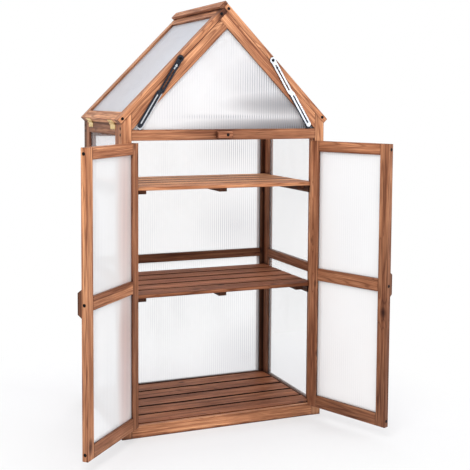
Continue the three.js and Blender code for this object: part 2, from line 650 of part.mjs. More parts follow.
// Stays: pivot points seen from the front, mirrored left to right
const STAY_TOP_OUT = HALF_WIDTH - STAY_TOP_FROM_EAVE * PITCH_COS + STAY_TOP_FROM_UNDERSIDE * PITCH_SIN;
const STAY_TOP_HEIGHT = EAVE_HEIGHT + STAY_TOP_FROM_EAVE * PITCH_SIN + STAY_TOP_FROM_UNDERSIDE * PITCH_COS;
const STAY_FOOT_HEIGHT = TOP_RAIL_TOP + STAY_FOOT_RISE;
const STAY_RUN = STAY_FOOT_OUT - STAY_TOP_OUT;
const STAY_FALL = STAY_TOP_HEIGHT - STAY_FOOT_HEIGHT;
const STAY_LENGTH = Math.hypot(STAY_RUN, STAY_FALL);
const REAR_ARM_Y = [-STAY_FACE_GAP - STAY_PLATE, -STAY_FACE_GAP];
const FRONT_ARM_Y = [REAR_ARM_Y[0] - STAY_LAYER_GAP - STAY_PLATE, REAR_ARM_Y[0] - STAY_LAYER_GAP];
const RIVET_HEAD_Y = [FRONT_ARM_Y[0] - STAY_LAYER_GAP - STAY_RIVET_HEAD, FRONT_ARM_Y[0] - STAY_LAYER_GAP];

function slot(from, to, v) {
  const hole = new THREE.Path();
  hole.absarc(to, v, STAY_SLOT_HALF_WIDTH, -Math.PI / 2, Math.PI / 2, false);
  hole.absarc(from, v, STAY_SLOT_HALF_WIDTH, Math.PI / 2, 3 * Math.PI / 2, false);
  return hole;
}

// A bar with round ends along the local X axis
function roundBar(from, to, v, half) {
  const shape = new THREE.Shape();
  shape.absarc(to, v, half, -Math.PI / 2, Math.PI / 2, false);
  shape.absarc(from, v, half, Math.PI / 2, 3 * Math.PI / 2, false);
  return shape;
}

function frontArm(side) {
  const jog = side * STAY_JOG;
  const jogEnd = STAY_JOG_START + STAY_JOG_LENGTH;
  const end = STAY_LENGTH - STAY_END_SHORT;
  const upper = roundBar(0, STAY_JOG_START, 0, STAY_HALF_WIDTH);
  const lower = roundBar(jogEnd, end, jog, STAY_HALF_WIDTH);
  const bridge = shapeOf([
    [STAY_JOG_START, -STAY_HALF_WIDTH], [jogEnd, jog - STAY_HALF_WIDTH],
    [jogEnd, jog + STAY_HALF_WIDTH], [STAY_JOG_START, STAY_HALF_WIDTH],
  ]);
  const head = barAlongY(STAY_HEAD_RADIUS, 0, 0, FRONT_ARM_Y);
  const blank = join([head, ...[upper, lower, bridge].map((shape) => plate(shape, FRONT_ARM_Y))]);
  const through = [FRONT_ARM_Y[0] - CUT_OVERRUN, FRONT_ARM_Y[1] + CUT_OVERRUN];
  const slots = [
    slot(STAY_SLOT_START, STAY_JOG_START - STAY_SLOT_MARGIN, 0),
    slot(jogEnd + STAY_SLOT_MARGIN, end - STAY_SLOT_MARGIN, jog),
  ].map((hole) => plate(new THREE.Shape(hole.getPoints(ARC_STEPS)), through));
  const shoulder = barAlongY(STAY_SHOULDER_RADIUS, 0, 0, [FRONT_ARM_Y[1] - STAY_PLATE / 2, -STAY_LAYER_GAP]);
  const stud = barAlongY(STAY_STUD_RADIUS, 0, 0, [FRONT_ARM_Y[1] - STAY_PLATE / 2, STAY_STUD_DEPTH]);
  return join([cut(blank, slots), shoulder, stud]);
}

function rearArm() {
  const bar = plate(roundBar(STAY_RIVET_FROM_TOP, STAY_LENGTH, 0, STAY_REAR_HALF_WIDTH), REAR_ARM_Y);
  const through = [REAR_ARM_Y[0] - CUT_OVERRUN, REAR_ARM_Y[1] + CUT_OVERRUN];
  const pivotHole = barAlongY(STAY_PIVOT_HOLE_RADIUS, STAY_LENGTH, 0, through);
  const slots = [
    slot(STAY_RIVET_FROM_TOP + 2 * STAY_SLOT_MARGIN, STAY_JOG_START - STAY_SLOT_MARGIN, 0),
    slot(STAY_JOG_START + STAY_JOG_LENGTH + STAY_SLOT_MARGIN, STAY_LENGTH - 3 * STAY_SLOT_MARGIN, 0),
  ].map((hole) => plate(new THREE.Shape(hole.getPoints(ARC_STEPS)), through));
  const rivetY = [RIVET_HEAD_Y[0], REAR_ARM_Y[1]];
  const rivet = barAlongY(STAY_RIVET_RADIUS, STAY_RIVET_FROM_TOP, 0, rivetY);
  const head = barAlongY(STAY_RIVET_HEAD_RADIUS, STAY_RIVET_FROM_TOP, 0, RIVET_HEAD_Y);
  return join([cut(bar, [pivotHole, ...slots]), rivet, head]);
}

// The foot: a small angle on the top rail whose ear stands behind the end of the rear arm
function stayFoot(side) {
  const x = side * STAY_FOOT_OUT;
  const ear = plate(roundBar(x, x, STAY_FOOT_HEIGHT, FOOT_HALF_WIDTH), [SEAT_GAP, SEAT_GAP + FOOT_PLATE]);
  const xs = [x - FOOT_HALF_WIDTH, x + FOOT_HALF_WIDTH];
  const neck = box(xs, [SEAT_GAP, SEAT_GAP + FOOT_PLATE], [TOP_RAIL_TOP, STAY_FOOT_HEIGHT]);
  const base = box(xs, [SEAT_GAP, SEAT_GAP + FOOT_DEPTH], [TOP_RAIL_TOP, TOP_RAIL_TOP + FOOT_PLATE]);
  return join([ear, neck, base]);
}

function addStays() {
  for (const [name, side] of SIDES) {
    const stay = new THREE.Group();
    stay.position.set(side * STAY_TOP_OUT, 0, STAY_TOP_HEIGHT);
    stay.rotation.y = Math.atan2(STAY_FALL, side * STAY_RUN);
    greenhouse.add(stay);
    add(`stay_front_arm_${name}`, frontArm(side), steel(STAY_COLOUR), stay);
    add(`stay_rear_arm_${name}`, rearArm(), steel(STAY_COLOUR), stay);
    add(`stay_foot_${name}`, stayFoot(side), steel(STAY_COLOUR));
  }
}

// The wooden button that turns down over the doors, with its screw
function turnButton() {
  const shape = new THREE.Shape();
  const [low, high] = [-BUTTON_WIDTH / 2, BUTTON_WIDTH / 2];
  const [left, right] = [-BUTTON_LONG_ARM, BUTTON_SHORT_ARM];
  shape.absarc(right - BUTTON_CORNER, low + BUTTON_CORNER, BUTTON_CORNER, -Math.PI / 2, 0, false);
  shape.absarc(right - BUTTON_CORNER, high - BUTTON_CORNER, BUTTON_CORNER, 0, Math.PI / 2, false);
  shape.absarc(left + BUTTON_CORNER, high - BUTTON_CORNER, BUTTON_CORNER, Math.PI / 2, Math.PI, false);
  shape.absarc(left + BUTTON_CORNER, low + BUTTON_CORNER, BUTTON_CORNER, Math.PI, 3 * Math.PI / 2, false);
  const block = plate(shape, [-SEAT_GAP - BUTTON_THICKNESS, -SEAT_GAP]);
  const stud = barAlongY(BUTTON_STUD_RADIUS, 0, 0, [-SEAT_GAP - BUTTON_THICKNESS / 2, BUTTON_STUD_DEPTH]);
  return join([block, stud]);
}

function addButton() {
  const button = add('turn_button', turnButton(), wood(TRIM_COLOUR));
  button.position.set(-BUTTON_LEFT_OF_MIDDLE, 0, BUTTON_HEIGHT);
}

addPosts();
addRails();
addGables();
addSides();
addShelves();
addDoors();
addHinges();
addRoof();
addStays();
addButton();

export default greenhouse;
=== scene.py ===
"""Wooden mini greenhouse: timber, twin-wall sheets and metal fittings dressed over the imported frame."""

import functools
import itertools
import json
import math

import bmesh
import bpy
from mathutils import Matrix, Vector


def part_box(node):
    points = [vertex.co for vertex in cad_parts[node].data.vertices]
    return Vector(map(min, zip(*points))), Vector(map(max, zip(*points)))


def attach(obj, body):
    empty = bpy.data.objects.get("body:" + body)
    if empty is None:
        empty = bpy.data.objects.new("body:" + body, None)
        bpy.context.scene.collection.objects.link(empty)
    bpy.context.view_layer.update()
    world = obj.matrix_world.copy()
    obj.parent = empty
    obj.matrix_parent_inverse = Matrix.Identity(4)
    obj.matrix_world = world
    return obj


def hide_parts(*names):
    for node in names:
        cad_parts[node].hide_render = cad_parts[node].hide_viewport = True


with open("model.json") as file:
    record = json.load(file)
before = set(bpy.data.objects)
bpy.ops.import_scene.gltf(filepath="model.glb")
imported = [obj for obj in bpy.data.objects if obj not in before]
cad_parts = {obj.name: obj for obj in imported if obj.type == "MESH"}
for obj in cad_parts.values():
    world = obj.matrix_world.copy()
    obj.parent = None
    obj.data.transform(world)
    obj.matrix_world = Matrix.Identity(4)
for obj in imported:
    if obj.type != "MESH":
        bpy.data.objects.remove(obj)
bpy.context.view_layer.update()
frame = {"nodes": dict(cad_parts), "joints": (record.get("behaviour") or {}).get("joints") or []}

NODES = frame["nodes"]
JOINTS = {joint["name"]: joint for joint in frame["joints"]}
SIDES = (("left", -1), ("right", 1))

# Cabinet: all sizes are in metres and follow the solids; a rail's top of None is the frame's own top
HALF_WIDTH = 0.350
DEPTH = 0.450
FRONT = -0.00925
MEMBER = 0.035
FRAME_THICKNESS = 0.0185
SEAM = 0.0003
SIDE_RAILS = ((0, 0.0385), (0.479, 0.510), (0.952, None))

# Roof: the pitch, where its underside meets the cabinet's side, and where the left half stops at the ridge
ROOF_PITCH = math.radians(45.3)
EAVE_HEIGHT = 0.9885
RIDGE_GAP = 0.001
APEX_HEIGHT = EAVE_HEIGHT + HALF_WIDTH * math.tan(ROOF_PITCH)
ROOF_FOOT = HALF_WIDTH / math.cos(ROOF_PITCH)

# Doors: edges and face measured from the hinge axis, and the heights of the rails
DOOR_HINGE_EDGE = 0.001
DOOR_FREE_EDGE = 0.3127
DOOR_FACE = 0.0015
DOOR_RAILS = ((0.0405, 0.0805), (0.469, 0.5094), (0.896, 0.931))
DOOR_OPEN = {"left": math.radians(135), "right": math.radians(112.4)}

# Shelves: slats notched round the front posts, on battens
SHELF_SLATS = 5
SLAT_GAP = 0.007
SLAT_THICKNESS = 0.011
BOTTOM_SLATS_BEHIND_RAIL = 0.0075
RAISED_SHELF_BACK = 0.409
BATTEN_WIDTH = 0.027
BATTEN_END_INSET = 0.040
MIDDLE_BATTEN_OFFSET = 0.003
NOTCH_INNER = 0.316
NOTCH_BACK = 0.034

# Hinges
HINGE_LENGTH = 0.053
HINGE_LEAF = 0.0012
HINGE_KNUCKLES = 5
KNUCKLE_LENGTH = HINGE_LENGTH / HINGE_KNUCKLES
KNUCKLE_CLEARANCE = 0.00005
KNUCKLE_RELIEF = 0.0002
KNUCKLE_LAP = 0.0004
PIN_RADIUS = 0.0012
DOOR_HINGE_STARTS = {"lower": 0.109, "upper": 0.8095}
DOOR_BARREL_RADIUS = 0.002
DOOR_LEAF_WIDTH = 0.015
EAVE_HINGE_STARTS = {"front": 0.0655, "rear": 0.3315}
EAVE_BARREL_RADIUS = 0.0024
EAVE_LEAF_HEIGHT = 0.017
EAVE_LOBES = 3
EAVE_LOBE_DEPTH = 0.005
EAVE_LOBE_GAP = 0.0012

# Screws: places on the roof halves are from the ridge and from the foot, along the slope
ROOF_SCREWS = {"left": (0.020, 0.014), "right": (-0.004, 0.018)}
POST_SCREW_INSET = 0.013
POST_SCREW_HEIGHTS = (0.955, 0.9745)

# How far the front arms of the stays stand ahead of the cabinet
STAY_AHEAD = 0.0038

# Edges and round forms
EASE = 0.0012
NODE_EASE = 0.0006
# The slats' eased edges are wide, so that the painted shade of the gaps on them shows wider
SLAT_EASE = 0.0030
EASE_SEGMENTS = 2
EASE_LEAST_ANGLE = math.radians(40)
TURNED_SEGMENTS = 20
ARC_STEPS = 10


def door_matrix(name, side):
    """A door's own frame as it stands open: the hinge axis is along Z, and the door lies along X from it."""
    hinge = Vector(JOINTS[f"{name}_door_hinge"]["pos_m"])
    return Matrix.Translation((hinge.x, hinge.y, 0)) @ Matrix.Rotation(side * DOOR_OPEN[name], 4, "Z")


def roof_matrix(side):
    """A roof half's own frame: X lies along the slope from the ridge, Y along the ridge from the front."""
    return Matrix.Translation((0, FRONT, APEX_HEIGHT)) @ Matrix.Rotation(side * ROOF_PITCH, 4, "Y")


# Camera, fitted to the corners of the cabinet in the photograph
IMAGE_SIZE = 470
FOCAL_PIXELS = 934.6
SENSOR = 36.0
CAMERA_PLACE = Vector((-1.1705, -2.7523, 1.0632))
CAMERA_YAW = math.radians(21.743)
CAMERA_PITCH = math.radians(4.283)
CAMERA_ROLL = math.radians(0.252)
CAMERA_FAR_END = 50

# The image centre, held nearer to the middle than in the best fit, so that other views keep the whole roof
CENTRE_ACROSS = 204.5
CENTRE_DOWN = 170.0


def make_camera():
    data = bpy.data.cameras.new("camera")
    data.sensor_width = SENSOR
    data.lens = FOCAL_PIXELS * SENSOR / IMAGE_SIZE
    data.shift_x = 0.5 - CENTRE_ACROSS / IMAGE_SIZE
    data.shift_y = CENTRE_DOWN / IMAGE_SIZE - 0.5
    data.clip_end = CAMERA_FAR_END
    camera = bpy.data.objects.new("camera", data)
    turn = Matrix.Rotation(-CAMERA_YAW, 4, "Z") @ Matrix.Rotation(math.pi / 2 - CAMERA_PITCH, 4, "X")
    camera.matrix_world = Matrix.Translation(CAMERA_PLACE) @ turn @ Matrix.Rotation(CAMERA_ROLL, 4, "Z")
    bpy.context.scene.collection.objects.link(camera)
    bpy.context.scene.camera = camera


# Shader nodes
WHITE = (1, 1, 1, 1)


def node_tree(name):
    material = bpy.data.materials.new(name)
    material.use_nodes = True
    material.node_tree.nodes.clear()
    return material, material.node_tree


def feed(tree, value, socket):
    """Link another node's output to the socket, or set a plain value on it."""
    if isinstance(value, bpy.types.NodeSocket):
        tree.links.new(value, socket)
    else:
        socket.default_value = value


def add_node(tree, kind, **inputs):
    node = tree.nodes.new(kind)
    for name, value in inputs.items():
        node.inputs[name.replace("_", " ")].default_value = value
    return node


def set_surface(tree, surface, kind="ShaderNodeOutputMaterial"):
    out = tree.nodes.new(kind)
    feed(tree, surface, out.inputs["Surface"])


def coordinates(tree, kind="Object"):
    return tree.nodes.new("ShaderNodeTexCoord").outputs[kind]


def read_property(tree, name, output="Fac"):
    node = tree.nodes.new("ShaderNodeAttribute")
    node.attribute_type = "OBJECT"
    node.attribute_name = name
    return node.outputs[output]


def component(tree, vector, axis):
    node = tree.nodes.new("ShaderNodeSeparateXYZ")
    feed(tree, vector, node.inputs[0])
    return node.outputs[axis]


def maths(tree, operation, first, second=0.0):
    node = tree.nodes.new("ShaderNodeMath")
    node.operation = operation
    feed(tree, first, node.inputs[0])
    feed(tree, second, node.inputs[1])
    return node.outputs[0]


def vector_maths(tree, operation, first, second=(0, 0, 0)):
    node = tree.nodes.new("ShaderNodeVectorMath")
    node.operation = operation
    feed(tree, first, node.inputs[0])
    feed(tree, second, node.inputs[1])
    return node.outputs["Value" if operation in ("LENGTH", "DOT_PRODUCT") else "Vector"]


def reach_share(tree, vector, middle, reach):
    """0 at the middle, 1 at reach metres from it in X, Y and Z."""
    away = vector_maths(tree, "SUBTRACT", vector, middle)
    return vector_maths(tree, "LENGTH", vector_maths(tree, "DIVIDE", away, reach))


def noise(tree, vector, stretch, detail, roughness, distortion):
    """Noise over the vector, with stretch features to the metre along X, Y and Z."""
    settings = {"Scale": 1.0, "Detail": detail, "Roughness": roughness, "Distortion": distortion}
    node = add_node(tree, "ShaderNodeTexNoise", **settings)
    feed(tree, vector_maths(tree, "MULTIPLY", vector, stretch), node.inputs["Vector"])
    return node.outputs["Fac"]


def grey(value):
    return (value, value, value)


def ramp(tree, fac, stops):
    node = tree.nodes.new("ShaderNodeValToRGB")
    elements = node.color_ramp.elements
    while len(elements) < len(stops):
        elements.new(0.5)
    for element, (position, colour) in zip(elements, stops):
        element.position = position
        element.color = (*colour, 1)
    feed(tree, fac, node.inputs["Fac"])
    return node.outputs["Color"]


def grey_ramp(tree, fac, places, values):
    return ramp(tree, fac, list(zip(places, map(grey, values))))


def mix_colour(tree, fac, first, second, blend="MIX"):
    """The colours go into sockets 6 and 7 of a Mix node, and come out of its socket 2."""
    node = tree.nodes.new("ShaderNodeMix")
    node.data_type = "RGBA"
    node.blend_type = blend
    for index, value in ((0, fac), (6, first), (7, second)):
        feed(tree, value, node.inputs[index])
    return node.outputs[2]


def tinted(tree, colour, other):
    return mix_colour(tree, 1.0, colour, other, "MULTIPLY")


def blend_shaders(tree, fac, first, second):
    node = tree.nodes.new("ShaderNodeMixShader")
    for index, value in enumerate((fac, first, second)):
        feed(tree, value, node.inputs[index])
    return node.outputs[0]


def add_bump(tree, shader, height, strength, distance):
    node = add_node(tree, "ShaderNodeBump", Strength=strength, Distance=distance)
    feed(tree, height, node.inputs["Height"])
    feed(tree, node.outputs[0], shader.inputs["Normal"])


# Stage and light: the floor is white away from the cabinet and keeps a soft shadow near it, and has a painted
# shade beneath the cabinet
FLOOR_SIZE = 24
FLOOR_PLACE = (0, 4, -0.0003)
FLOOR_COLOUR = (0.86, 0.87, 0.88, 1)
SHADED_COLOUR = (0.40, 0.40, 0.41, 1)
FLOOR_GLOW = 0.49
FLOOR_FADE = 0.6
FLOOR_FADE_STOPS = [(0.25, grey(0)), (1.0, grey(1))]
# How soon the painted shade beneath the cabinet sets in: there the floor drops its glow and shows only the
# dim shaded diffuse, darker than its real shadow
UNDER_FADE = 0.03
UNDER_FADE_STOPS = [(0.0, grey(0)), (1.0, grey(1))]
ROOM_COLOUR = (0.97, 0.98, 1, 1)
ROOM_STRENGTH = 0.72
UPPER_AIM = (0, 0.1, 1.0)
MIDDLE_AIM = (0, 0.2, 0.7)

# Lamps: name, place, aim, width and height, power, colour, and whether surfaces mirror them
LAMPS = (
    ("key", (-1.35, -1.9, 2.5), UPPER_AIM, (1.5, 1.5), 48, (1, 0.985, 0.96), True),
    ("fill", (2.6, -2.4, 1.9), MIDDLE_AIM, (2.0, 2.0), 42, (0.97, 0.98, 1), True),
    ("back", (0.4, 3.0, 1.5), MIDDLE_AIM, (3.0, 2.4), 75, (1, 1, 1), False),
)


def seen_directly(tree):
    """1 for what the camera sees straight, mirrored or through a clear sheet, 0 for light that bounces."""
    path = tree.nodes.new("ShaderNodeLightPath")
    total = path.outputs["Is Camera Ray"]
    for other in ("Is Glossy Ray", "Is Transmission Ray"):
        total = maths(tree, "MAXIMUM", total, path.outputs[other])
    return total


def floor_distance(tree):
    """How far a point of the floor lies outside the cabinet's footprint, less than 0 within it."""
    where = tree.nodes.new("ShaderNodeNewGeometry").outputs["Position"]
    from_middle = maths(tree, "SUBTRACT", component(tree, where, "Y"), FRONT + DEPTH / 2)
    across = maths(tree, "SUBTRACT", maths(tree, "ABSOLUTE", component(tree, where, "X")), HALF_WIDTH)
    along = maths(tree, "SUBTRACT", maths(tree, "ABSOLUTE", from_middle), DEPTH / 2)
    return maths(tree, "MAXIMUM", across, along)


def floor_material():
    material, tree = node_tree("studio_floor")
    diffuse = add_node(tree, "ShaderNodeBsdfDiffuse", Color=FLOOR_COLOUR)
    shaded = add_node(tree, "ShaderNodeBsdfDiffuse", Color=SHADED_COLOUR)
    glow = add_node(tree, "ShaderNodeEmission", Color=WHITE, Strength=FLOOR_GLOW)
    white = add_node(tree, "ShaderNodeEmission", Color=WHITE, Strength=1)
    near = tree.nodes.new("ShaderNodeAddShader")
    feed(tree, shaded.outputs[0], near.inputs[0])
    feed(tree, glow.outputs[0], near.inputs[1])
    outside = floor_distance(tree)
    away = ramp(tree, maths(tree, "MULTIPLY", outside, 1 / FLOOR_FADE), FLOOR_FADE_STOPS)
    # Painted shade beneath the cabinet: there the floor shows no glow
    under = ramp(tree, maths(tree, "MULTIPLY", outside, -1 / UNDER_FADE), UNDER_FADE_STOPS)
    open_floor = blend_shaders(tree, away, near.outputs[0], white.outputs[0])
    shown = blend_shaders(tree, under, open_floor, shaded.outputs[0])
    set_surface(tree, blend_shaders(tree, seen_directly(tree), diffuse.outputs[0], shown))
    return material


def make_floor():
    bpy.ops.mesh.primitive_plane_add(size=FLOOR_SIZE, location=FLOOR_PLACE)
    floor = bpy.context.active_object
    floor.name = "floor"
    floor.data.materials.append(floor_material())


def make_world():
    world = bpy.data.worlds.new("studio")
    world.use_nodes = True
    tree = world.node_tree
    tree.nodes.clear()
    soft = add_node(tree, "ShaderNodeBackground", Color=ROOM_COLOUR, Strength=ROOM_STRENGTH)
    white = add_node(tree, "ShaderNodeBackground", Color=WHITE, Strength=1)
    surface = blend_shaders(tree, seen_directly(tree), soft.outputs[0], white.outputs[0])
    set_surface(tree, surface, "ShaderNodeOutputWorld")
    bpy.context.scene.world = world


def make_lamp(name, place, aim, size, power, colour, mirrored):
    """An area lamp; one that isn't mirrored lights the surfaces but makes no glare on them."""
    data = bpy.data.lights.new(name, "AREA")
    data.shape = "RECTANGLE"
    data.size, data.size_y = size
    data.energy = power
    data.color = colour
    lamp = bpy.data.objects.new(name, data)
    lamp.location = place
    lamp.rotation_euler = (Vector(aim) - Vector(place)).to_track_quat("-Z", "Y").to_euler()
    lamp.visible_glossy = mirrored
    bpy.context.scene.collection.objects.link(lamp)


def make_lamps():
    for lamp in LAMPS:
        make_lamp(*lamp)


# Wood: stained softwood whose grain runs along one axis of the piece
TONES = {
    "frame": ((0.21, 0.067, 0.031), (0.44, 0.175, 0.084), (0.70, 0.332, 0.172)),
    "shelf": ((0.190, 0.062, 0.028), (0.44, 0.158, 0.072), (0.72, 0.325, 0.168)),
    "trim": ((0.18, 0.060, 0.030), (0.37, 0.142, 0.070), (0.58, 0.260, 0.135)),
    # gap is no timber colour: painted shade, nearly black, for the faces that look into the slats' gaps
    "gap": ((0.020, 0.010, 0.008), (0.040, 0.018, 0.013), (0.070, 0.032, 0.022)),
}
SHEENS = {"frame": 0.22, "shelf": 0.12, "trim": 0.22, "gap": 0.03}

# The turn that brings each direction of the grain onto X
TURNS = {
    "x": (0, 0, 0),
    "y": (0, 0, -math.pi / 2),
    "z": (0, math.pi / 2, 0),
    "down_left": (0, ROOF_PITCH, 0),
    "down_right": (0, -ROOF_PITCH, 0),
}

# How far the grain moves with a piece's seed
SEED_SHIFTS = (("X", 0.61), ("Y", 0.93), ("Z", 1.37))

# Noises: features to the metre along the grain and twice across it, detail, roughness and distortion
FIGURE_NOISE = ((0.45, 17, 17), 1.5, 0.45, 0.0)
STREAK_NOISE = ((3.2, 125, 125), 4, 0.66, 0.3)
FIBRE_NOISE = ((14, 420, 420), 2, 0.6, 0.0)
DRIFT_NOISE = ((3.0, 14, 14), 3, 0.6, 0.0)
KNOTS_TO_THE_METRE = (7, 13, 13)

# How many lines the figure of the grain has, how strongly a knot bends it, how far the painted shade in
# crevices reaches, and how far the edge wear reaches
FIGURE_LINES = 40
KNOT_PULL = 1.6
KNOT_PULL_STOPS = [(0.05, grey(1)), (0.30, grey(0))]
KNOT_RIM = 0.085
CREVICE_SHADE_REACH = 0.015
CREVICE_SHADE_SAMPLES = 6
EDGE_REACH = 0.004
EDGE_SAMPLES = 4

# Where the dark, middle and light tones of the stain sit in the streaks
STAIN_PLACES = (0.32, 0.49, 0.68)

# What each layer of the grain does to the colour
FIGURE_STOPS = [(0.0, (0.62, 0.55, 0.53)), (0.18, (0.95, 0.94, 0.94)), (1.0, (1.06, 1.06, 1.06))]
DRIFT_STOPS = [(0.34, (0.74, 0.70, 0.68)), (0.50, (1, 1, 1)), (0.68, (1.13, 1.12, 1.08))]
FIBRE_STOPS = [(0.32, (0.68, 0.66, 0.65)), (0.60, (1.10, 1.10, 1.10))]
KNOT_STOPS = [(0.04, (0.24, 0.18, 0.17)), (KNOT_RIM, (0.60, 0.56, 0.55)), (0.12, (1, 1, 1))]

# What the painted shade in crevices, worn edges and sawn ends do to it, and where the edges are worn most
CREVICE_SHADE_STOPS = [(0.25, (0.12, 0.08, 0.09)), (0.62, (0.52, 0.45, 0.44)), (0.88, grey(1))]
EDGE_STOPS = [(0.45, (0.42, 0.36, 0.36)), (0.92, grey(1))]
EDGE_SHARE_STOPS = [(0.38, grey(1)), (0.60, grey(0.25))]
END_STOPS = [(0.80, grey(1)), (0.97, (0.50, 0.45, 0.44))]

# A piece's tone, partly its own stain and partly painted light: 1 is the plain stain, less is darker and
# duller, as painted shade, more is paler, as painted sheen
MOST_TONE = 2.0
TONE_STOPS = [(0.15, (0.28, 0.28, 0.29)), (0.5, (1, 1, 1)), (1.0, (1.8, 2.3, 2.4))]

# Painted shade: the timber is darker towards the ground, as less light falls low down; height in metres, and
# the share of the colour that is left
LOWER_SHADE_STOPS = [(0.15, (0.62, 0.60, 0.60)), (0.85, (1, 1, 1))]

# The surface: roughness by the fibres, the shares of the layers in its relief, and strength and depth of that
ROUGHNESS_STOPS = [(0.3, grey(0.66)), (0.7, grey(0.46))]
FIGURE_RELIEF = 0.4
STREAK_RELIEF = 0.6
FIBRE_RELIEF = 0.5
WOOD_BUMP = (0.3, 0.0006)


def turned_to_grain(tree, vector, turn):
    """The same vector seen in a frame whose X runs along the grain."""
    node = tree.nodes.new("ShaderNodeVectorRotate")
    node.rotation_type = "EULER_XYZ"
    node.inputs["Rotation"].default_value = TURNS[turn]
    feed(tree, vector, node.inputs["Vector"])
    return node.outputs[0]


def grain_coordinates(tree, turn):
    """Object coordinates turned so that X runs along the grain, moved by the piece's own seed."""
    shift = tree.nodes.new("ShaderNodeCombineXYZ")
    seed_value = read_property(tree, "grain_seed")
    for axis, share in SEED_SHIFTS:
        feed(tree, maths(tree, "MULTIPLY", seed_value, share), shift.inputs[axis])
    return vector_maths(tree, "ADD", turned_to_grain(tree, coordinates(tree), turn), shift.outputs[0])


def knot_distance(tree, vector):
    """How far the nearest knot is: one of those strewn through all timber, or the piece's own."""
    strewn = add_node(tree, "ShaderNodeTexVoronoi", Scale=1.0)
    feed(tree, vector_maths(tree, "MULTIPLY", vector, KNOTS_TO_THE_METRE), strewn.inputs["Vector"])
    middle = read_property(tree, "knot_middle", "Vector")
    own = reach_share(tree, coordinates(tree), middle, read_property(tree, "knot_reach", "Vector"))
    return maths(tree, "MINIMUM", strewn.outputs["Distance"], maths(tree, "MULTIPLY", own, KNOT_RIM))


def grain_figure(tree, vector, knots):
    """The lines of the year rings where the saw cut them, bent round the knots."""
    field = noise(tree, vector, *FIGURE_NOISE)
    pull = maths(tree, "MULTIPLY", ramp(tree, knots, KNOT_PULL_STOPS), KNOT_PULL)
    phase = maths(tree, "ADD", maths(tree, "MULTIPLY", field, FIGURE_LINES), pull)
    wave = maths(tree, "SINE", maths(tree, "MULTIPLY", phase, 2 * math.pi))
    return maths(tree, "ADD", maths(tree, "MULTIPLY", wave, 0.5), 0.5)


def crevice_shade(tree):
    """Painted shade: darkening in the joints, the rebates and the gaps between boards, where shade falls."""
    node = add_node(tree, "ShaderNodeAmbientOcclusion", Distance=CREVICE_SHADE_REACH)
    node.samples = CREVICE_SHADE_SAMPLES
    return ramp(tree, node.outputs["AO"], CREVICE_SHADE_STOPS)


def worn_edges(tree, streaks):
    """Edges that were rubbed and stained darker, more in some stretches than in others."""
    node = add_node(tree, "ShaderNodeAmbientOcclusion", Distance=EDGE_REACH)
    node.samples = EDGE_SAMPLES
    node.inside = True
    node.only_local = True
    edge = ramp(tree, node.outputs["AO"], EDGE_STOPS)
    return mix_colour(tree, ramp(tree, streaks, EDGE_SHARE_STOPS), WHITE, edge)


def end_grain(tree, turn):
    """The sawn ends of the timber take more stain than its long faces."""
    normal = turned_to_grain(tree, coordinates(tree, "Normal"), turn)
    return ramp(tree, maths(tree, "ABSOLUTE", component(tree, normal, "X")), END_STOPS)


def lower_shade(tree):
    """Painted shade: darker towards the ground, for the pieces that stand on it."""
    low = ramp(tree, component(tree, coordinates(tree), "Z"), LOWER_SHADE_STOPS)
    return mix_colour(tree, read_property(tree, "stands"), WHITE, low)


# A piece's tone, which holds painted shade and painted sheen as well as the timber's own tone
def piece_tone_and_shade(tree):
    return ramp(tree, maths(tree, "DIVIDE", read_property(tree, "tone"), MOST_TONE), TONE_STOPS)


def relief(tree, figure, streaks, fibres):
    lines = maths(tree, "MULTIPLY", figure, FIGURE_RELIEF)
    lines = maths(tree, "ADD", lines, maths(tree, "MULTIPLY", streaks, STREAK_RELIEF))
    return maths(tree, "ADD", lines, maths(tree, "MULTIPLY", fibres, FIBRE_RELIEF))


@functools.cache
def wood(tone, turn):
    """Stained pine: slow colour drift, figure, streaks, fine fibres, knots, dark ends and worn edges, with
    painted light and shade by piece, towards the ground and in crevices.
    """
    material, tree = node_tree(f"wood_{tone}_{turn}")
    shader = add_node(tree, "ShaderNodeBsdfPrincipled", Specular_IOR_Level=SHEENS[tone])
    vector = grain_coordinates(tree, turn)
    knots = knot_distance(tree, vector)
    figure = grain_figure(tree, vector, knots)
    streaks = noise(tree, vector, *STREAK_NOISE)
    fibres = noise(tree, vector, *FIBRE_NOISE)
    drift = noise(tree, vector, *DRIFT_NOISE)
    colour = ramp(tree, streaks, list(zip(STAIN_PLACES, TONES[tone])))
    layers = ((figure, FIGURE_STOPS), (drift, DRIFT_STOPS), (fibres, FIBRE_STOPS), (knots, KNOT_STOPS))
    for fac, stops in layers:
        colour = tinted(tree, colour, ramp(tree, fac, stops))
    shades = (piece_tone_and_shade(tree), lower_shade(tree), end_grain(tree, turn), worn_edges(tree, streaks), crevice_shade(tree))
    for shade in shades:
        colour = tinted(tree, colour, shade)
    feed(tree, colour, shader.inputs["Base Color"])
    feed(tree, ramp(tree, fibres, ROUGHNESS_STOPS), shader.inputs["Roughness"])
    add_bump(tree, shader, relief(tree, figure, streaks, fibres), *WOOD_BUMP)
    set_surface(tree, shader.outputs[0])
    return material


# Twin-wall sheet: milky clear plastic whose flutes show as fine grey lines, stronger in some patches of
# painted shade and painted reflection
FLUTE_PITCH = 0.0083
FLUTE_STOPS = [(0.1, grey(0)), (0.9, grey(1))]
SHEET_CLEAR = (0.975, 0.98, 0.985)
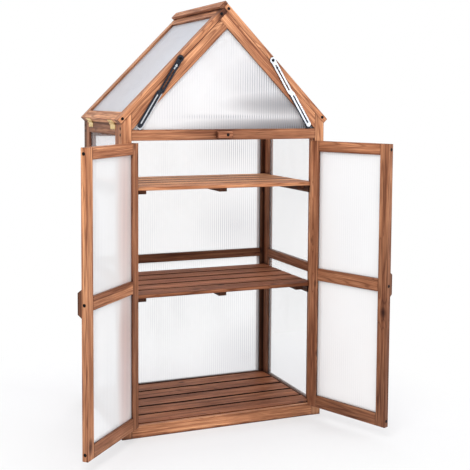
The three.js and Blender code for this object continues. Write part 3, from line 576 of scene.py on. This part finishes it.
# The painted colour of the timber behind, as it shows through the sheets
SHEET_TIMBER_SEEN = (0.965, 0.91, 0.885)
SHEET_DULL = (0.84, 0.87, 0.92)
SHEET_GABLE = (0.94, 0.94, 0.945)
SHEET_LINE = (0.46, 0.47, 0.51, 1)
SHEET_THROUGH = (0.99, 0.995, 1, 1)
SHEET_TRANSLUCENT_SHARE = 0.5
SHEET_ROUGHNESS = 0.3
SHEET_BUMP = (0.3, 0.0004)
PATCH_STOPS = [(0.0, grey(1)), (0.45, grey(0.6)), (1.0, grey(0))]
PATCH_OPACITY = 0.12
OPACITY_PLACES = (0.0, 0.8)
CLOUD_NOISE = ((9, 9, 3.5), 3, 0.6, 0.0)
CLOUD_PLACES = (0.45, 0.72)
LEAST_LINES_SHARE = 0.10
# Where the painted timber colour lies on the sheets
WARM_NOISE = ((3, 3, 2), 2, 0.5, 0.0)
WARM_STOPS = [(0.40, grey(0)), (0.62, grey(1))]

# The directions along which the flutes are counted
WIDE = (1, 0, 0)
DEEP = (0, 1, 0)

# Painted places on the sheets, which the photograph shows: greyer ones are painted shade, the dark inside of
# the cabinet seen through the sheet, and the warm ones on the left door a painted reflection of its timber;
# middle, reach and colour
REAR_SHADE_PATCHES = (
    ((0.27, 0.44, 0.10), (0.21, 1, 0.20), (0.88, 0.88, 0.89)),
    ((0.22, 0.44, 0.60), (0.20, 1, 0.15), (0.92, 0.92, 0.93)),
    ((0.22, 0.44, 0.88), (0.20, 1, 0.11), (0.93, 0.93, 0.94)),
)
GABLE_SHADE_PATCHES = (
    ((0.16, -0.01, 1.120), (0.19, 1, 0.110), (0.87, 0.87, 0.88)),
    ((0.24, -0.01, 1.048), (0.27, 1, 0.046), (0.46, 0.45, 0.46)),
    ((0.28, -0.01, 0.975), (0.48, 1, 0.044), (0.24, 0.22, 0.23)),
    ((0.08, -0.01, 1.010), (0.36, 1, 0.012), (0.90, 0.90, 0.91)),
)
LEFT_DOOR_REFLECTION_PATCHES = (
    ((-0.364, -0.061, 0.72), (0.058, 0.058, 0.34), (1.0, 0.80, 0.74)),
    ((-0.364, -0.061, 0.37), (0.050, 0.050, 0.14), (0.80, 0.62, 0.56)),
    ((-0.364, -0.061, 0.24), (0.058, 0.058, 0.32), (0.90, 0.70, 0.65)),
)


def flutes(tree, where, across):
    """1 along each flute and 0 between them, counted along the direction across."""
    counted = vector_maths(tree, "DOT_PRODUCT", where, across)
    turns = maths(tree, "MULTIPLY", counted, 2 * math.pi / FLUTE_PITCH)
    return ramp(tree, maths(tree, "COSINE", turns), FLUTE_STOPS)


def sheet_tint(tree, where, clear, warmth):
    """The sheet's own colour, with painted timber colour in some places, as the wood behind shows through it.
    """
    warm = ramp(tree, noise(tree, where, *WARM_NOISE), WARM_STOPS)
    return mix_colour(tree, maths(tree, "MULTIPLY", warm, warmth), (*clear, 1), (*SHEET_TIMBER_SEEN, 1))


def make_sheet(name, across, least, lines, warmth=0.0, patches=(), clear=SHEET_CLEAR):
    """The flutes are counted along the direction across, and lines says how much they show. least is the
    lowest opacity, and warmth says how much painted timber colour the sheet gets, as the wood behind shows
    through. Each of the patches is the middle, the reach and the colour of a painted place, painted shade
    where darker and painted reflection where warm; the flutes are plainer to see there."""
    material, tree = node_tree(f"sheet_{name}")
    where = coordinates(tree)
    rib = flutes(tree, where, across)
    cloud = noise(tree, where, *CLOUD_NOISE)
    strength = grey_ramp(tree, cloud, CLOUD_PLACES, (LEAST_LINES_SHARE * lines, lines))
    tint = sheet_tint(tree, where, clear, warmth)
    for middle, reach, shade in patches:
        spot = ramp(tree, reach_share(tree, where, middle, reach), PATCH_STOPS)
        strength = maths(tree, "MAXIMUM", strength, spot)
        tint = mix_colour(tree, spot, tint, (*shade, 1))
    colour = mix_colour(tree, maths(tree, "MULTIPLY", rib, strength), tint, SHEET_LINE)
    shader = add_node(tree, "ShaderNodeBsdfPrincipled", Roughness=SHEET_ROUGHNESS)
    feed(tree, colour, shader.inputs["Base Color"])
    add_bump(tree, shader, rib, *SHEET_BUMP)
    glow = tree.nodes.new("ShaderNodeBsdfTranslucent")
    feed(tree, colour, glow.inputs["Color"])
    milk = blend_shaders(tree, SHEET_TRANSLUCENT_SHARE, shader.outputs[0], glow.outputs[0])
    through = add_node(tree, "ShaderNodeBsdfTransparent", Color=SHEET_THROUGH)
    opacity = grey_ramp(tree, strength, OPACITY_PLACES, (least, least + PATCH_OPACITY))
    set_surface(tree, blend_shaders(tree, opacity, through.outputs[0], milk))
    return material


# Metals
BLOTCH_DETAIL = 4
BLOTCH_ROUGHNESS = 0.6
METAL_PLACES = (0.35, 0.65)
METAL_GLOSS_PLACES = (0.3, 0.7)
METAL_BUMP = (0.12, 0.0002)


def make_metal(name, base, worn, roughness, scale):
    """Blotches of the base and the worn colour, scale of them to the metre, each with its roughness."""
    material, tree = node_tree(name)
    shader = add_node(tree, "ShaderNodeBsdfPrincipled", Metallic=1.0)
    blotch = noise(tree, coordinates(tree), (scale, scale, scale), BLOTCH_DETAIL, BLOTCH_ROUGHNESS, 0.0)
    colour = ramp(tree, blotch, list(zip(METAL_PLACES, (base, worn))))
    feed(tree, colour, shader.inputs["Base Color"])
    feed(tree, grey_ramp(tree, blotch, METAL_GLOSS_PLACES, roughness), shader.inputs["Roughness"])
    add_bump(tree, shader, blotch, *METAL_BUMP)
    set_surface(tree, shader.outputs[0])
    return material


BRASS = make_metal("brass", (0.86, 0.64, 0.26), (0.66, 0.45, 0.16), (0.20, 0.40), 160)
# One steel for the stays in two copies: one with a painted dark reflection and shade, also for the feet, and
# one with a painted bright reflection
STEEL_DARK_REFLECTION = make_metal("steel_painted_dark", (0.018, 0.020, 0.026), (0.050, 0.055, 0.070), (0.26, 0.45), 220)
STEEL_BRIGHT_REFLECTION = make_metal("steel_painted_bright", (0.78, 0.79, 0.82), (0.50, 0.53, 0.58), (0.16, 0.34), 120)
BLACK_STEEL = make_metal("black_steel", (0.006, 0.006, 0.007), (0.020, 0.020, 0.022), (0.40, 0.60), 300)

# The front and the rear arm of each roof stay: one steel, with a painted dark reflection on some arms and a
# painted bright reflection on the others
STAY_ARM_REFLECTIONS = {"left": (STEEL_DARK_REFLECTION, STEEL_BRIGHT_REFLECTION), "right": (STEEL_BRIGHT_REFLECTION, STEEL_DARK_REFLECTION)}


# Each piece's own numbers, which the wood reads: seed, tone with its painted light and shade, share of
# painted shade towards the ground, and knot
NUMBERS = itertools.count(1)
GOLDEN_SHARE = 0.6180339887
LEAST_SEED = 0.3
SEED_SPAN = 9.4
LEAST_TONE_SHARE = 0.93
TONE_SHARE_SPAN = 0.14
TONE_STRIDE = 7
# Tones by piece: the dark rear pieces, side rails, cleats and battens hold painted shade inside the cabinet,
# and the pale upper slats a painted sheen
PIECE_TONES_AND_SHADES = (
    ("door_stile_left_hinge", 0.80), ("door_stile_left_free", 1.22), ("door_rail_left", 1.0),
    ("door_stile_right_hinge", 0.90), ("door_stile_right_free", 0.72), ("door_rail_right", 0.88),
    ("door_handle", 0.55),
    ("post_front_left", 1.18), ("post_front_right", 1.35), ("post_rear", 0.38),
    ("front_top_rail", 0.84), ("front_bottom_rail", 1.12), ("rear_", 0.50),
    ("side_rail", 0.62), ("side_stile", 0.8), ("rafter_front", 1.18), ("roof_", 1.18),
    ("slat_upper_1", 1.25), ("slat_upper", 1.85), ("slat_middle_1", 0.80), ("slat_middle", 0.98),
    ("shelf_cleat", 0.30), ("batten", 0.30),
)
# How much of the painted shade towards the ground each piece takes, kept as its stands number
LOWER_SHADE_SHARES = (("roof_", 0.0), ("front_bottom_rail", 0.0), ("door_stile_left_free", 0.4))

# Knots that the photograph shows: middle and reach in the frame of the piece
KNOTS = {
    "door_stile_right_free": ((-0.3000, 0, 0.405), (0.009, 0.05, 0.016)),
    "door_stile_left_free": ((0.2970, 0, 0.080), (0.010, 0.05, 0.022)),
    "roof_stile_left_front": ((-0.0100, 0, 0.009), (0.030, 0.03, 0.030)),
}
NO_KNOT = ((0, 0, -9), (1, 1, 1))


def listed(entries, name):
    """The value of the first entry whose text the piece's name begins with, or else 1."""
    for start, value in entries:
        if name.startswith(start):
            return value
    return 1.0


def seed(piece):
    """Each piece gets its own seed and tone, so that no two pieces of timber look the same."""
    spread = (next(NUMBERS) * GOLDEN_SHARE) % 1.0
    tone_share = LEAST_TONE_SHARE + TONE_SHARE_SPAN * ((spread * TONE_STRIDE) % 1.0)
    piece["grain_seed"] = LEAST_SEED + SEED_SPAN * spread
    piece["tone"] = listed(PIECE_TONES_AND_SHADES, piece.name) * tone_share
    piece["stands"] = listed(LOWER_SHADE_SHARES, piece.name)
    piece["knot_middle"], piece["knot_reach"] = KNOTS.get(piece.name, NO_KNOT)


# Pieces and their meshes
def bevel(piece, width=EASE):
    modifier = piece.modifiers.new("eased_edges", "BEVEL")
    modifier.width = width
    modifier.segments = EASE_SEGMENTS
    modifier.limit_method = "ANGLE"
    modifier.angle_limit = EASE_LEAST_ANGLE
    modifier.harden_normals = False


def add_piece(piece, body, matrix=None):
    bpy.context.scene.collection.objects.link(piece)
    if matrix is not None:
        piece.matrix_world = matrix
    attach(piece, body)
    return piece


def add_prism(shape, outline, heights):
    """A flat outline in X and Y, given counterclockwise, made solid between two heights."""
    lower = [shape.verts.new((x, y, heights[0])) for x, y in outline]
    upper = [shape.verts.new((x, y, heights[1])) for x, y in outline]
    shape.faces.new(reversed(lower))
    shape.faces.new(upper)
    for index in range(len(outline)):
        after = (index + 1) % len(outline)
        shape.faces.new((lower[index], lower[after], upper[after], upper[index]))


def add_turned(shape, profile, matrix, hollow=False):
    """A turned form about the Z axis of matrix, from radius and height; hollow closes it to a tube."""
    angles = [2 * math.pi * step / TURNED_SEGMENTS for step in range(TURNED_SEGMENTS)]
    rings = []
    for radius, height in profile:
        spots = [Vector((radius * math.cos(angle), radius * math.sin(angle), height)) for angle in angles]
        rings.append([shape.verts.new(matrix @ spot) for spot in spots])
    pairs = list(zip(rings, rings[1:]))
    if hollow:
        pairs.append((rings[-1], rings[0]))
    else:
        shape.faces.new(reversed(rings[0]))
        shape.faces.new(rings[-1])
    for lower, upper in pairs:
        for index in range(TURNED_SEGMENTS):
            after = (index + 1) % TURNED_SEGMENTS
            shape.faces.new((lower[index], lower[after], upper[after], upper[index]))


def facing(point, normal):
    """A frame at point whose Z axis is normal."""
    turn = Vector(normal).to_track_quat("Z", "Y").to_matrix().to_4x4()
    return Matrix.Translation(point) @ turn


def piece_from(shape, name, material):
    mesh = bpy.data.meshes.new(name)
    shape.to_mesh(mesh)
    shape.free()
    mesh.materials.append(material)
    return bpy.data.objects.new(name, mesh)


def slab(name, outline, heights, body, material, matrix=None):
    """A piece of timber with this outline in X and Y between two heights, with eased edges."""
    shape = bmesh.new()
    add_prism(shape, outline, heights)
    piece = piece_from(shape, name, material)
    seed(piece)
    bevel(piece)
    return add_piece(piece, body, matrix)


def board(name, xs, ys, zs, body, material, matrix=None):
    """A planed board between two corners of its own frame."""
    x0, x1 = sorted(xs)
    y0, y1 = sorted(ys)
    return slab(name, [(x0, y0), (x1, y0), (x1, y1), (x0, y1)], sorted(zs), body, material, matrix)


# CAD nodes that keep their shape
def dress(node, material, eased=True):
    """A CAD node keeps its shape and takes a new material."""
    piece = NODES[node]
    piece.data.materials.clear()
    piece.data.materials.append(material)
    seed(piece)
    if eased:
        bevel(piece, NODE_EASE)


def dress_timber():
    for end in ("front", "rear"):
        for name, _ in SIDES:
            dress(f"post_{end}_{name}", wood("frame", "z"))
            dress(f"rafter_{end}_{name}", wood("frame", f"down_{name}"))
    for place in ("front_bottom", "front_top", "rear_bottom", "rear_mid", "rear_top"):
        dress(f"{place}_rail", wood("frame", "x"))
    for level in ("middle", "upper"):
        for name, _ in SIDES:
            dress(f"shelf_cleat_{level}_{name}", wood("shelf", "y"))
    dress("ridge_cap", wood("frame", "y"))
    dress("turn_button", wood("trim", "x"))
    for name, _ in SIDES:
        dress(f"door_handle_{name}", wood("trim", "z"))


def make_door_sheets():
    """One material for each door, whose flutes are counted along the door as it stands open."""
    outwards = {name: door_matrix(name, side).col[0].xyz for name, side in SIDES}
    looks = {"least": 0.62, "warmth": 0.25}
    left = make_sheet("door_left", outwards["left"], lines=0.30, patches=LEFT_DOOR_REFLECTION_PATCHES, **looks)
    right = make_sheet("door_right", outwards["right"], lines=0.20, clear=SHEET_GABLE, **looks)
    return {"left": left, "right": right}


def dress_sheets():
    wall = make_sheet("wall", WIDE, least=0.26, lines=0.50, patches=REAR_SHADE_PATCHES)
    side_wall = make_sheet("side_wall", DEEP, least=0.20, lines=0.15)
    gable = make_sheet("gable", WIDE, least=0.80, lines=0.35, patches=GABLE_SHADE_PATCHES, clear=SHEET_GABLE)
    doors = make_door_sheets()
    roof = make_sheet("roof", DEEP, least=0.80, lines=0.4, warmth=0.15, clear=SHEET_DULL)
    for node in ("gable_sheet_rear", "rear_sheet_upper", "rear_sheet_lower"):
        dress(node, wall, False)
    dress("gable_sheet_front", gable, False)
    for name, _ in SIDES:
        for level in ("upper", "lower"):
            dress(f"side_sheet_{name}_{level}", side_wall, False)
            dress(f"door_sheet_{name}_{level}", doors[name], False)
        dress(f"roof_sheet_{name}", roof, False)


def dress_metal():
    for name, _ in SIDES:
        for level in DOOR_HINGE_STARTS:
            dress(f"door_hinge_{name}_{level}", BRASS, False)
        for end in EAVE_HINGE_STARTS:
            dress(f"eave_hinge_{name}_{end}", BRASS, False)
        front_metal, rear_metal = STAY_ARM_REFLECTIONS[name]
        dress(f"stay_front_arm_{name}", front_metal, False)
        dress(f"stay_rear_arm_{name}", rear_metal, False)
        dress(f"stay_foot_{name}", STEEL_DARK_REFLECTION, False)


# Frames glued up from stiles and rails, drawn flat in the frame of the wall, door or roof half
def build_side_frame(name):
    low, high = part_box(f"side_frame_{name}")
    xs = (low.x, high.x)
    full = (low.z, high.z)
    stiles = {"front": (low.y, low.y + MEMBER), "rear": (high.y - MEMBER, high.y)}
    for end, ys in stiles.items():
        stile = board(f"side_stile_{name}_{end}", xs, ys, full, "cabinet", wood("frame", "z"))
        if end == "front":
            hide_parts(f"side_frame_{name}")
    between = (stiles["front"][1] + SEAM, stiles["rear"][0] - SEAM)
    for label, (bottom, top) in zip(("bottom", "middle", "top"), SIDE_RAILS):
        zs = (bottom, high.z if top is None else top)
        board(f"side_rail_{name}_{label}", xs, between, zs, "cabinet", wood("frame", "y"))


def build_door(name, side):
    matrix = door_matrix(name, side)
    body = f"{name}_door"
    ys = (DOOR_FACE, DOOR_FACE + FRAME_THICKNESS)
    full = (DOOR_RAILS[0][0], DOOR_RAILS[-1][1])
    hinge_stile = (DOOR_HINGE_EDGE, DOOR_HINGE_EDGE + MEMBER)
    free_stile = (DOOR_FREE_EDGE - MEMBER, DOOR_FREE_EDGE)
    for label, (near, far) in {"hinge": hinge_stile, "free": free_stile}.items():
        xs = (-side * near, -side * far)
        stile = board(f"door_stile_{name}_{label}", xs, ys, full, body, wood("frame", "z"), matrix=matrix)
        if label == "hinge":
            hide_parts(f"door_frame_{name}")
    between = (-side * (hinge_stile[1] + SEAM), -side * (free_stile[0] - SEAM))
    for label, zs in zip(("bottom", "middle", "top"), DOOR_RAILS):
        board(f"door_rail_{name}_{label}", between, ys, zs, body, wood("frame", "x"), matrix=matrix)


def build_roof(name, side):
    """The right half runs past the ridge by its own thickness, and the left half stops short of it."""
    matrix = roof_matrix(side)
    body = f"{name}_roof"
    head = -FRAME_THICKNESS if side > 0 else RIDGE_GAP
    full = (side * head, side * ROOF_FOOT)
    zs = (0, FRAME_THICKNESS)
    for label, ys in {"front": (0, MEMBER), "rear": (DEPTH - MEMBER, DEPTH)}.items():
        stile = board(f"roof_stile_{name}_{label}", full, ys, zs, body, wood("frame", "x"), matrix=matrix)
        if label == "front":
            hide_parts(f"roof_frame_{name}")
    between = (MEMBER + SEAM, DEPTH - MEMBER - SEAM)
    rails = {"ridge": (head, head + MEMBER), "eave": (ROOF_FOOT - MEMBER, ROOF_FOOT)}
    for label, (upper, lower) in rails.items():
        xs = (side * upper, side * lower)
        board(f"roof_rail_{name}_{label}", xs, between, zs, body, wood("frame", "y"), matrix=matrix)


# Shelves: a face whose normal lies along Y by more than this share looks into a gap and gets painted shade
FACING_SHARE = 0.9


def paint_gap_shade(slat, foremost):
    """Painted shade: the faces of a slat that look into a gap, and the eased edges of all but the foremost
    slat, are nearly black; the foremost slat keeps its front edge.
    """
    slat.data.materials.append(wood("gap", "x"))
    if not foremost:
        slat.modifiers["eased_edges"].material = 1
        slat.modifiers["eased_edges"].width = SLAT_EASE
    for face in slat.data.polygons:
        if face.normal.y > FACING_SHARE or (face.normal.y < -FACING_SHARE and not foremost):
            face.material_index = 1


def slat_outline(low, high, y0, y1):
    """From side to side of the shelf, with a notch for each front post where the slat reaches them."""
    notch = NOTCH_BACK + FRONT
    if y0 >= notch:
        return [(low.x, y0), (high.x, y0), (high.x, y1), (low.x, y1)]
    return [
        (-NOTCH_INNER, y0), (NOTCH_INNER, y0), (NOTCH_INNER, notch), (high.x, notch),
        (high.x, y1), (low.x, y1), (low.x, notch), (-NOTCH_INNER, notch),
    ]


def build_slats(level, low, high):
    first = low.y + (BOTTOM_SLATS_BEHIND_RAIL if level == "bottom" else 0)
    pitch = (RAISED_SHELF_BACK + FRONT - first + SLAT_GAP) / SHELF_SLATS
    zs = (high.z - SLAT_THICKNESS, high.z)
    for index in range(SHELF_SLATS):
        y0 = first + index * pitch
        outline = slat_outline(low, high, y0, y0 + pitch - SLAT_GAP)
        slat = slab(f"slat_{level}_{index + 1}", outline, zs, "cabinet", wood("shelf", "x"))
        paint_gap_shade(slat, index == 0)
        if index == 0:
            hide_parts(f"shelf_{level}")


def build_battens(level, low, high):
    reach = high.x - BATTEN_END_INSET - BATTEN_WIDTH / 2
    ys = (low.y, high.y)
    zs = (low.z, high.z - SLAT_THICKNESS)
    for label, centre in {"left": -reach, "middle": -MIDDLE_BATTEN_OFFSET, "right": reach}.items():
        xs = (centre - BATTEN_WIDTH / 2, centre + BATTEN_WIDTH / 2)
        board(f"batten_{level}_{label}", xs, ys, zs, "cabinet", wood("shelf", "y"))


def build_frames_and_shelves():
    for name, side in SIDES:
        build_side_frame(name)
        build_door(name, side)
        build_roof(name, side)
    for level in ("bottom", "middle", "upper"):
        low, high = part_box(f"shelf_{level}")
        build_slats(level, low, high)
        build_battens(level, low, high)


# Screw heads: radius and height from the rim to the bottom of the drive
HINGE_SCREW = ((0.0020, 0), (0.0020, 0.0002), (0.0015, 0.0005), (0.0008, 0.0005), (0.0006, 0.0002))
FRAME_SCREW = ((0.0050, 0), (0.0050, 0.0003), (0.0042, 0.0007), (0.0020, 0.0007), (0.0016, 0.0002))
PIVOT_SCREW = ((0.0052, 0), (0.0050, 0.0008), (0.0038, 0.0018), (0.0020, 0.0022), (0.0015, 0.0012))

# The moving leaves of the hinges: this turns a flat outline into Y and Z, with the thickness along X
LEAF_PLANE = Matrix(((0, 0, 1, 0), (1, 0, 0, 0), (0, 1, 0, 0), (0, 0, 0, 1)))


def knuckle_spans(start):
    """The stretches of the barrel that belong to the moving leaf: every second knuckle."""
    indices = range(1, HINGE_KNUCKLES, 2)
    return [(start + index * KNUCKLE_LENGTH, start + (index + 1) * KNUCKLE_LENGTH) for index in indices]


def add_knuckle(shape, radius, length, matrix):
    inner = PIN_RADIUS + KNUCKLE_CLEARANCE
    add_turned(shape, [(inner, 0), (radius, 0), (radius, length), (inner, length)], matrix, True)


def add_leaf_plate(shape, outline, across):
    """A plate upright in its frame: the outline is in Y and Z, and across holds its two faces in X."""
    add_prism(shape, outline, sorted(across))
    bmesh.ops.transform(shape, matrix=LEAF_PLANE, verts=shape.verts)


def finish_leaf(shape, name, body, matrix):
    bmesh.ops.recalc_face_normals(shape, faces=shape.faces)
    leaf = piece_from(shape, name, BRASS)
    add_piece(leaf, body, matrix)


def build_door_leaf(name, side, level, start):
    """On the door's hinge edge."""
    root = DOOR_BARREL_RADIUS + KNUCKLE_RELIEF
    tip = DOOR_BARREL_RADIUS - KNUCKLE_LAP
    end = start + HINGE_LENGTH
    outline = [(DOOR_LEAF_WIDTH, start), (DOOR_LEAF_WIDTH, end), (root, end)]
    for low, high in reversed(knuckle_spans(start)):
        outline += [(root, high), (tip, high), (tip, low), (root, low)]
    outline.append((root, start))
    shape = bmesh.new()
    add_leaf_plate(shape, outline, (-side * (DOOR_HINGE_EDGE - HINGE_LEAF), -side * DOOR_HINGE_EDGE))
    for low, high in knuckle_spans(start):
        add_knuckle(shape, DOOR_BARREL_RADIUS, high - low, Matrix.Translation((0, 0, low)))
    finish_leaf(shape, f"hinge_leaf_door_{name}_{level}", f"{name}_door", door_matrix(name, side))


def lobe_middles(start):
    step = HINGE_LENGTH / EAVE_LOBES
    return [start + (index + 0.5) * step for index in range(EAVE_LOBES)]


def lobed_edge(start, waist):
    """The far edge of an eave leaf from its end back to its start, as round lobes."""
    half = (HINGE_LENGTH / EAVE_LOBES - EAVE_LOBE_GAP) / 2
    points = []
    for middle in reversed(lobe_middles(start)):
        for step in range(ARC_STEPS + 1):
            angle = math.pi * step / ARC_STEPS
            points.append((middle + half * math.cos(angle), waist + EAVE_LOBE_DEPTH * math.sin(angle)))
    return points


def add_leaf_screws(shape, side, x, ys, z):
    """A row of screw heads on the outer face of a leaf."""
    for y in ys:
        add_turned(shape, HINGE_SCREW, facing((x, y, z), (side, 0, 0)))


def build_eave_leaf(name, side, end, start):
    """On the lower end of a roof half, its lobes pointing up."""
    matrix = roof_matrix(side)
    axis = matrix.inverted() @ Vector(JOINTS[f"{name}_roof_hinge"]["pos_m"])
    root = axis.z + EAVE_BARREL_RADIUS + KNUCKLE_RELIEF
    waist = EAVE_LEAF_HEIGHT - EAVE_LOBE_DEPTH
    face = side * (ROOF_FOOT + HINGE_LEAF)
    outline = [(start, root)]
    for low, high in knuckle_spans(start):
        outline += [(low, root), (low, axis.z), (high, axis.z), (high, root)]
    outline.append((start + HINGE_LENGTH, root))
    outline += lobed_edge(start, waist)
    shape = bmesh.new()
    add_leaf_plate(shape, outline, (side * ROOF_FOOT, face))
    for low, high in knuckle_spans(start):
        along = Matrix.Translation((axis.x, low, axis.z)) @ Matrix.Rotation(-math.pi / 2, 4, "X")
        add_knuckle(shape, EAVE_BARREL_RADIUS, high - low, along)
    add_leaf_screws(shape, side, face, lobe_middles(start), waist)
    finish_leaf(shape, f"hinge_leaf_eave_{name}_{end}", f"{name}_roof", matrix)


def build_eave_screws(name, side, end, start):
    """The screws of the cabinet's own leaf, on its flat face below the eave."""
    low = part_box(f"eave_hinge_{name}_{end}")[0]
    ys = [FRONT + middle for middle in lobe_middles(start)]
    shape = bmesh.new()
    add_leaf_screws(shape, side, side * (HALF_WIDTH + HINGE_LEAF), ys, low.z + EAVE_LOBE_DEPTH)
    screws = piece_from(shape, f"hinge_screws_{name}_{end}", BRASS)
    add_piece(screws, "cabinet")


def build_hinges():
    for name, side in SIDES:
        for level, start in DOOR_HINGE_STARTS.items():
            build_door_leaf(name, side, level, start)
        for end, start in EAVE_HINGE_STARTS.items():
            build_eave_leaf(name, side, end, start)
            build_eave_screws(name, side, end, start)


# Screws in the frames, posts, turn button and stays
def add_screw(name, profile, body, matrix):
    shape = bmesh.new()
    add_turned(shape, profile, Matrix())
    screw = piece_from(shape, name, BLACK_STEEL)
    add_piece(screw, body, matrix)


def build_door_screws(name, side):
    middle = DOOR_FACE + FRAME_THICKNESS / 2
    for label, (low, high) in zip(("bottom", "middle", "top"), DOOR_RAILS):
        point = (-side * DOOR_FREE_EDGE, middle, (low + high) / 2)
        matrix = door_matrix(name, side) @ facing(point, (-side, 0, 0))
        add_screw(f"screw_door_{name}_{label}", FRAME_SCREW, f"{name}_door", matrix)


def build_roof_screws(name, side):
    from_ridge, from_foot = ROOF_SCREWS[name]
    places = {"ridge": from_ridge, "eave": ROOF_FOOT - from_foot}
    ends = {"front": (0, (0, -1, 0)), "rear": (DEPTH, (0, 1, 0))}
    for end, (y, normal) in ends.items():
        for label, along in places.items():
            matrix = roof_matrix(side) @ facing((side * along, y, FRAME_THICKNESS / 2), normal)
            add_screw(f"screw_roof_{name}_{end}_{label}", FRAME_SCREW, f"{name}_roof", matrix)


def build_post_screws(name, side):
    for end, y in (("front", POST_SCREW_INSET), ("rear", DEPTH - POST_SCREW_INSET)):
        for label, z in zip(("lower", "upper"), POST_SCREW_HEIGHTS):
            matrix = facing((side * HALF_WIDTH, FRONT + y, z), (side, 0, 0))
            add_screw(f"screw_post_{name}_{end}_{label}", FRAME_SCREW, "cabinet", matrix)


def build_button_screw():
    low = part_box("turn_button")[0]
    axis = Vector(JOINTS["turn_button_pivot"]["pos_m"])
    add_screw("screw_turn_button", FRAME_SCREW, "button", facing((axis.x, low.y, axis.z), (0, -1, 0)))


def build_stay_screw(name):
    pivot = Vector(JOINTS[f"{name}_stay_pivot"]["pos_m"])
    matrix = facing((pivot.x, FRONT - STAY_AHEAD, pivot.z), (0, -1, 0))
    add_screw(f"screw_stay_{name}", PIVOT_SCREW, f"{name}_stay_front", matrix)


def build_screws():
    build_button_screw()
    for name, side in SIDES:
        build_door_screws(name, side)
        build_roof_screws(name, side)
        build_post_screws(name, side)
        build_stay_screw(name)


bpy.context.scene.view_settings.view_transform = "Standard"
make_camera()
make_floor()
make_world()
make_lamps()
dress_timber()
dress_sheets()
dress_metal()
build_frames_and_shelves()
build_hinges()
build_screws()
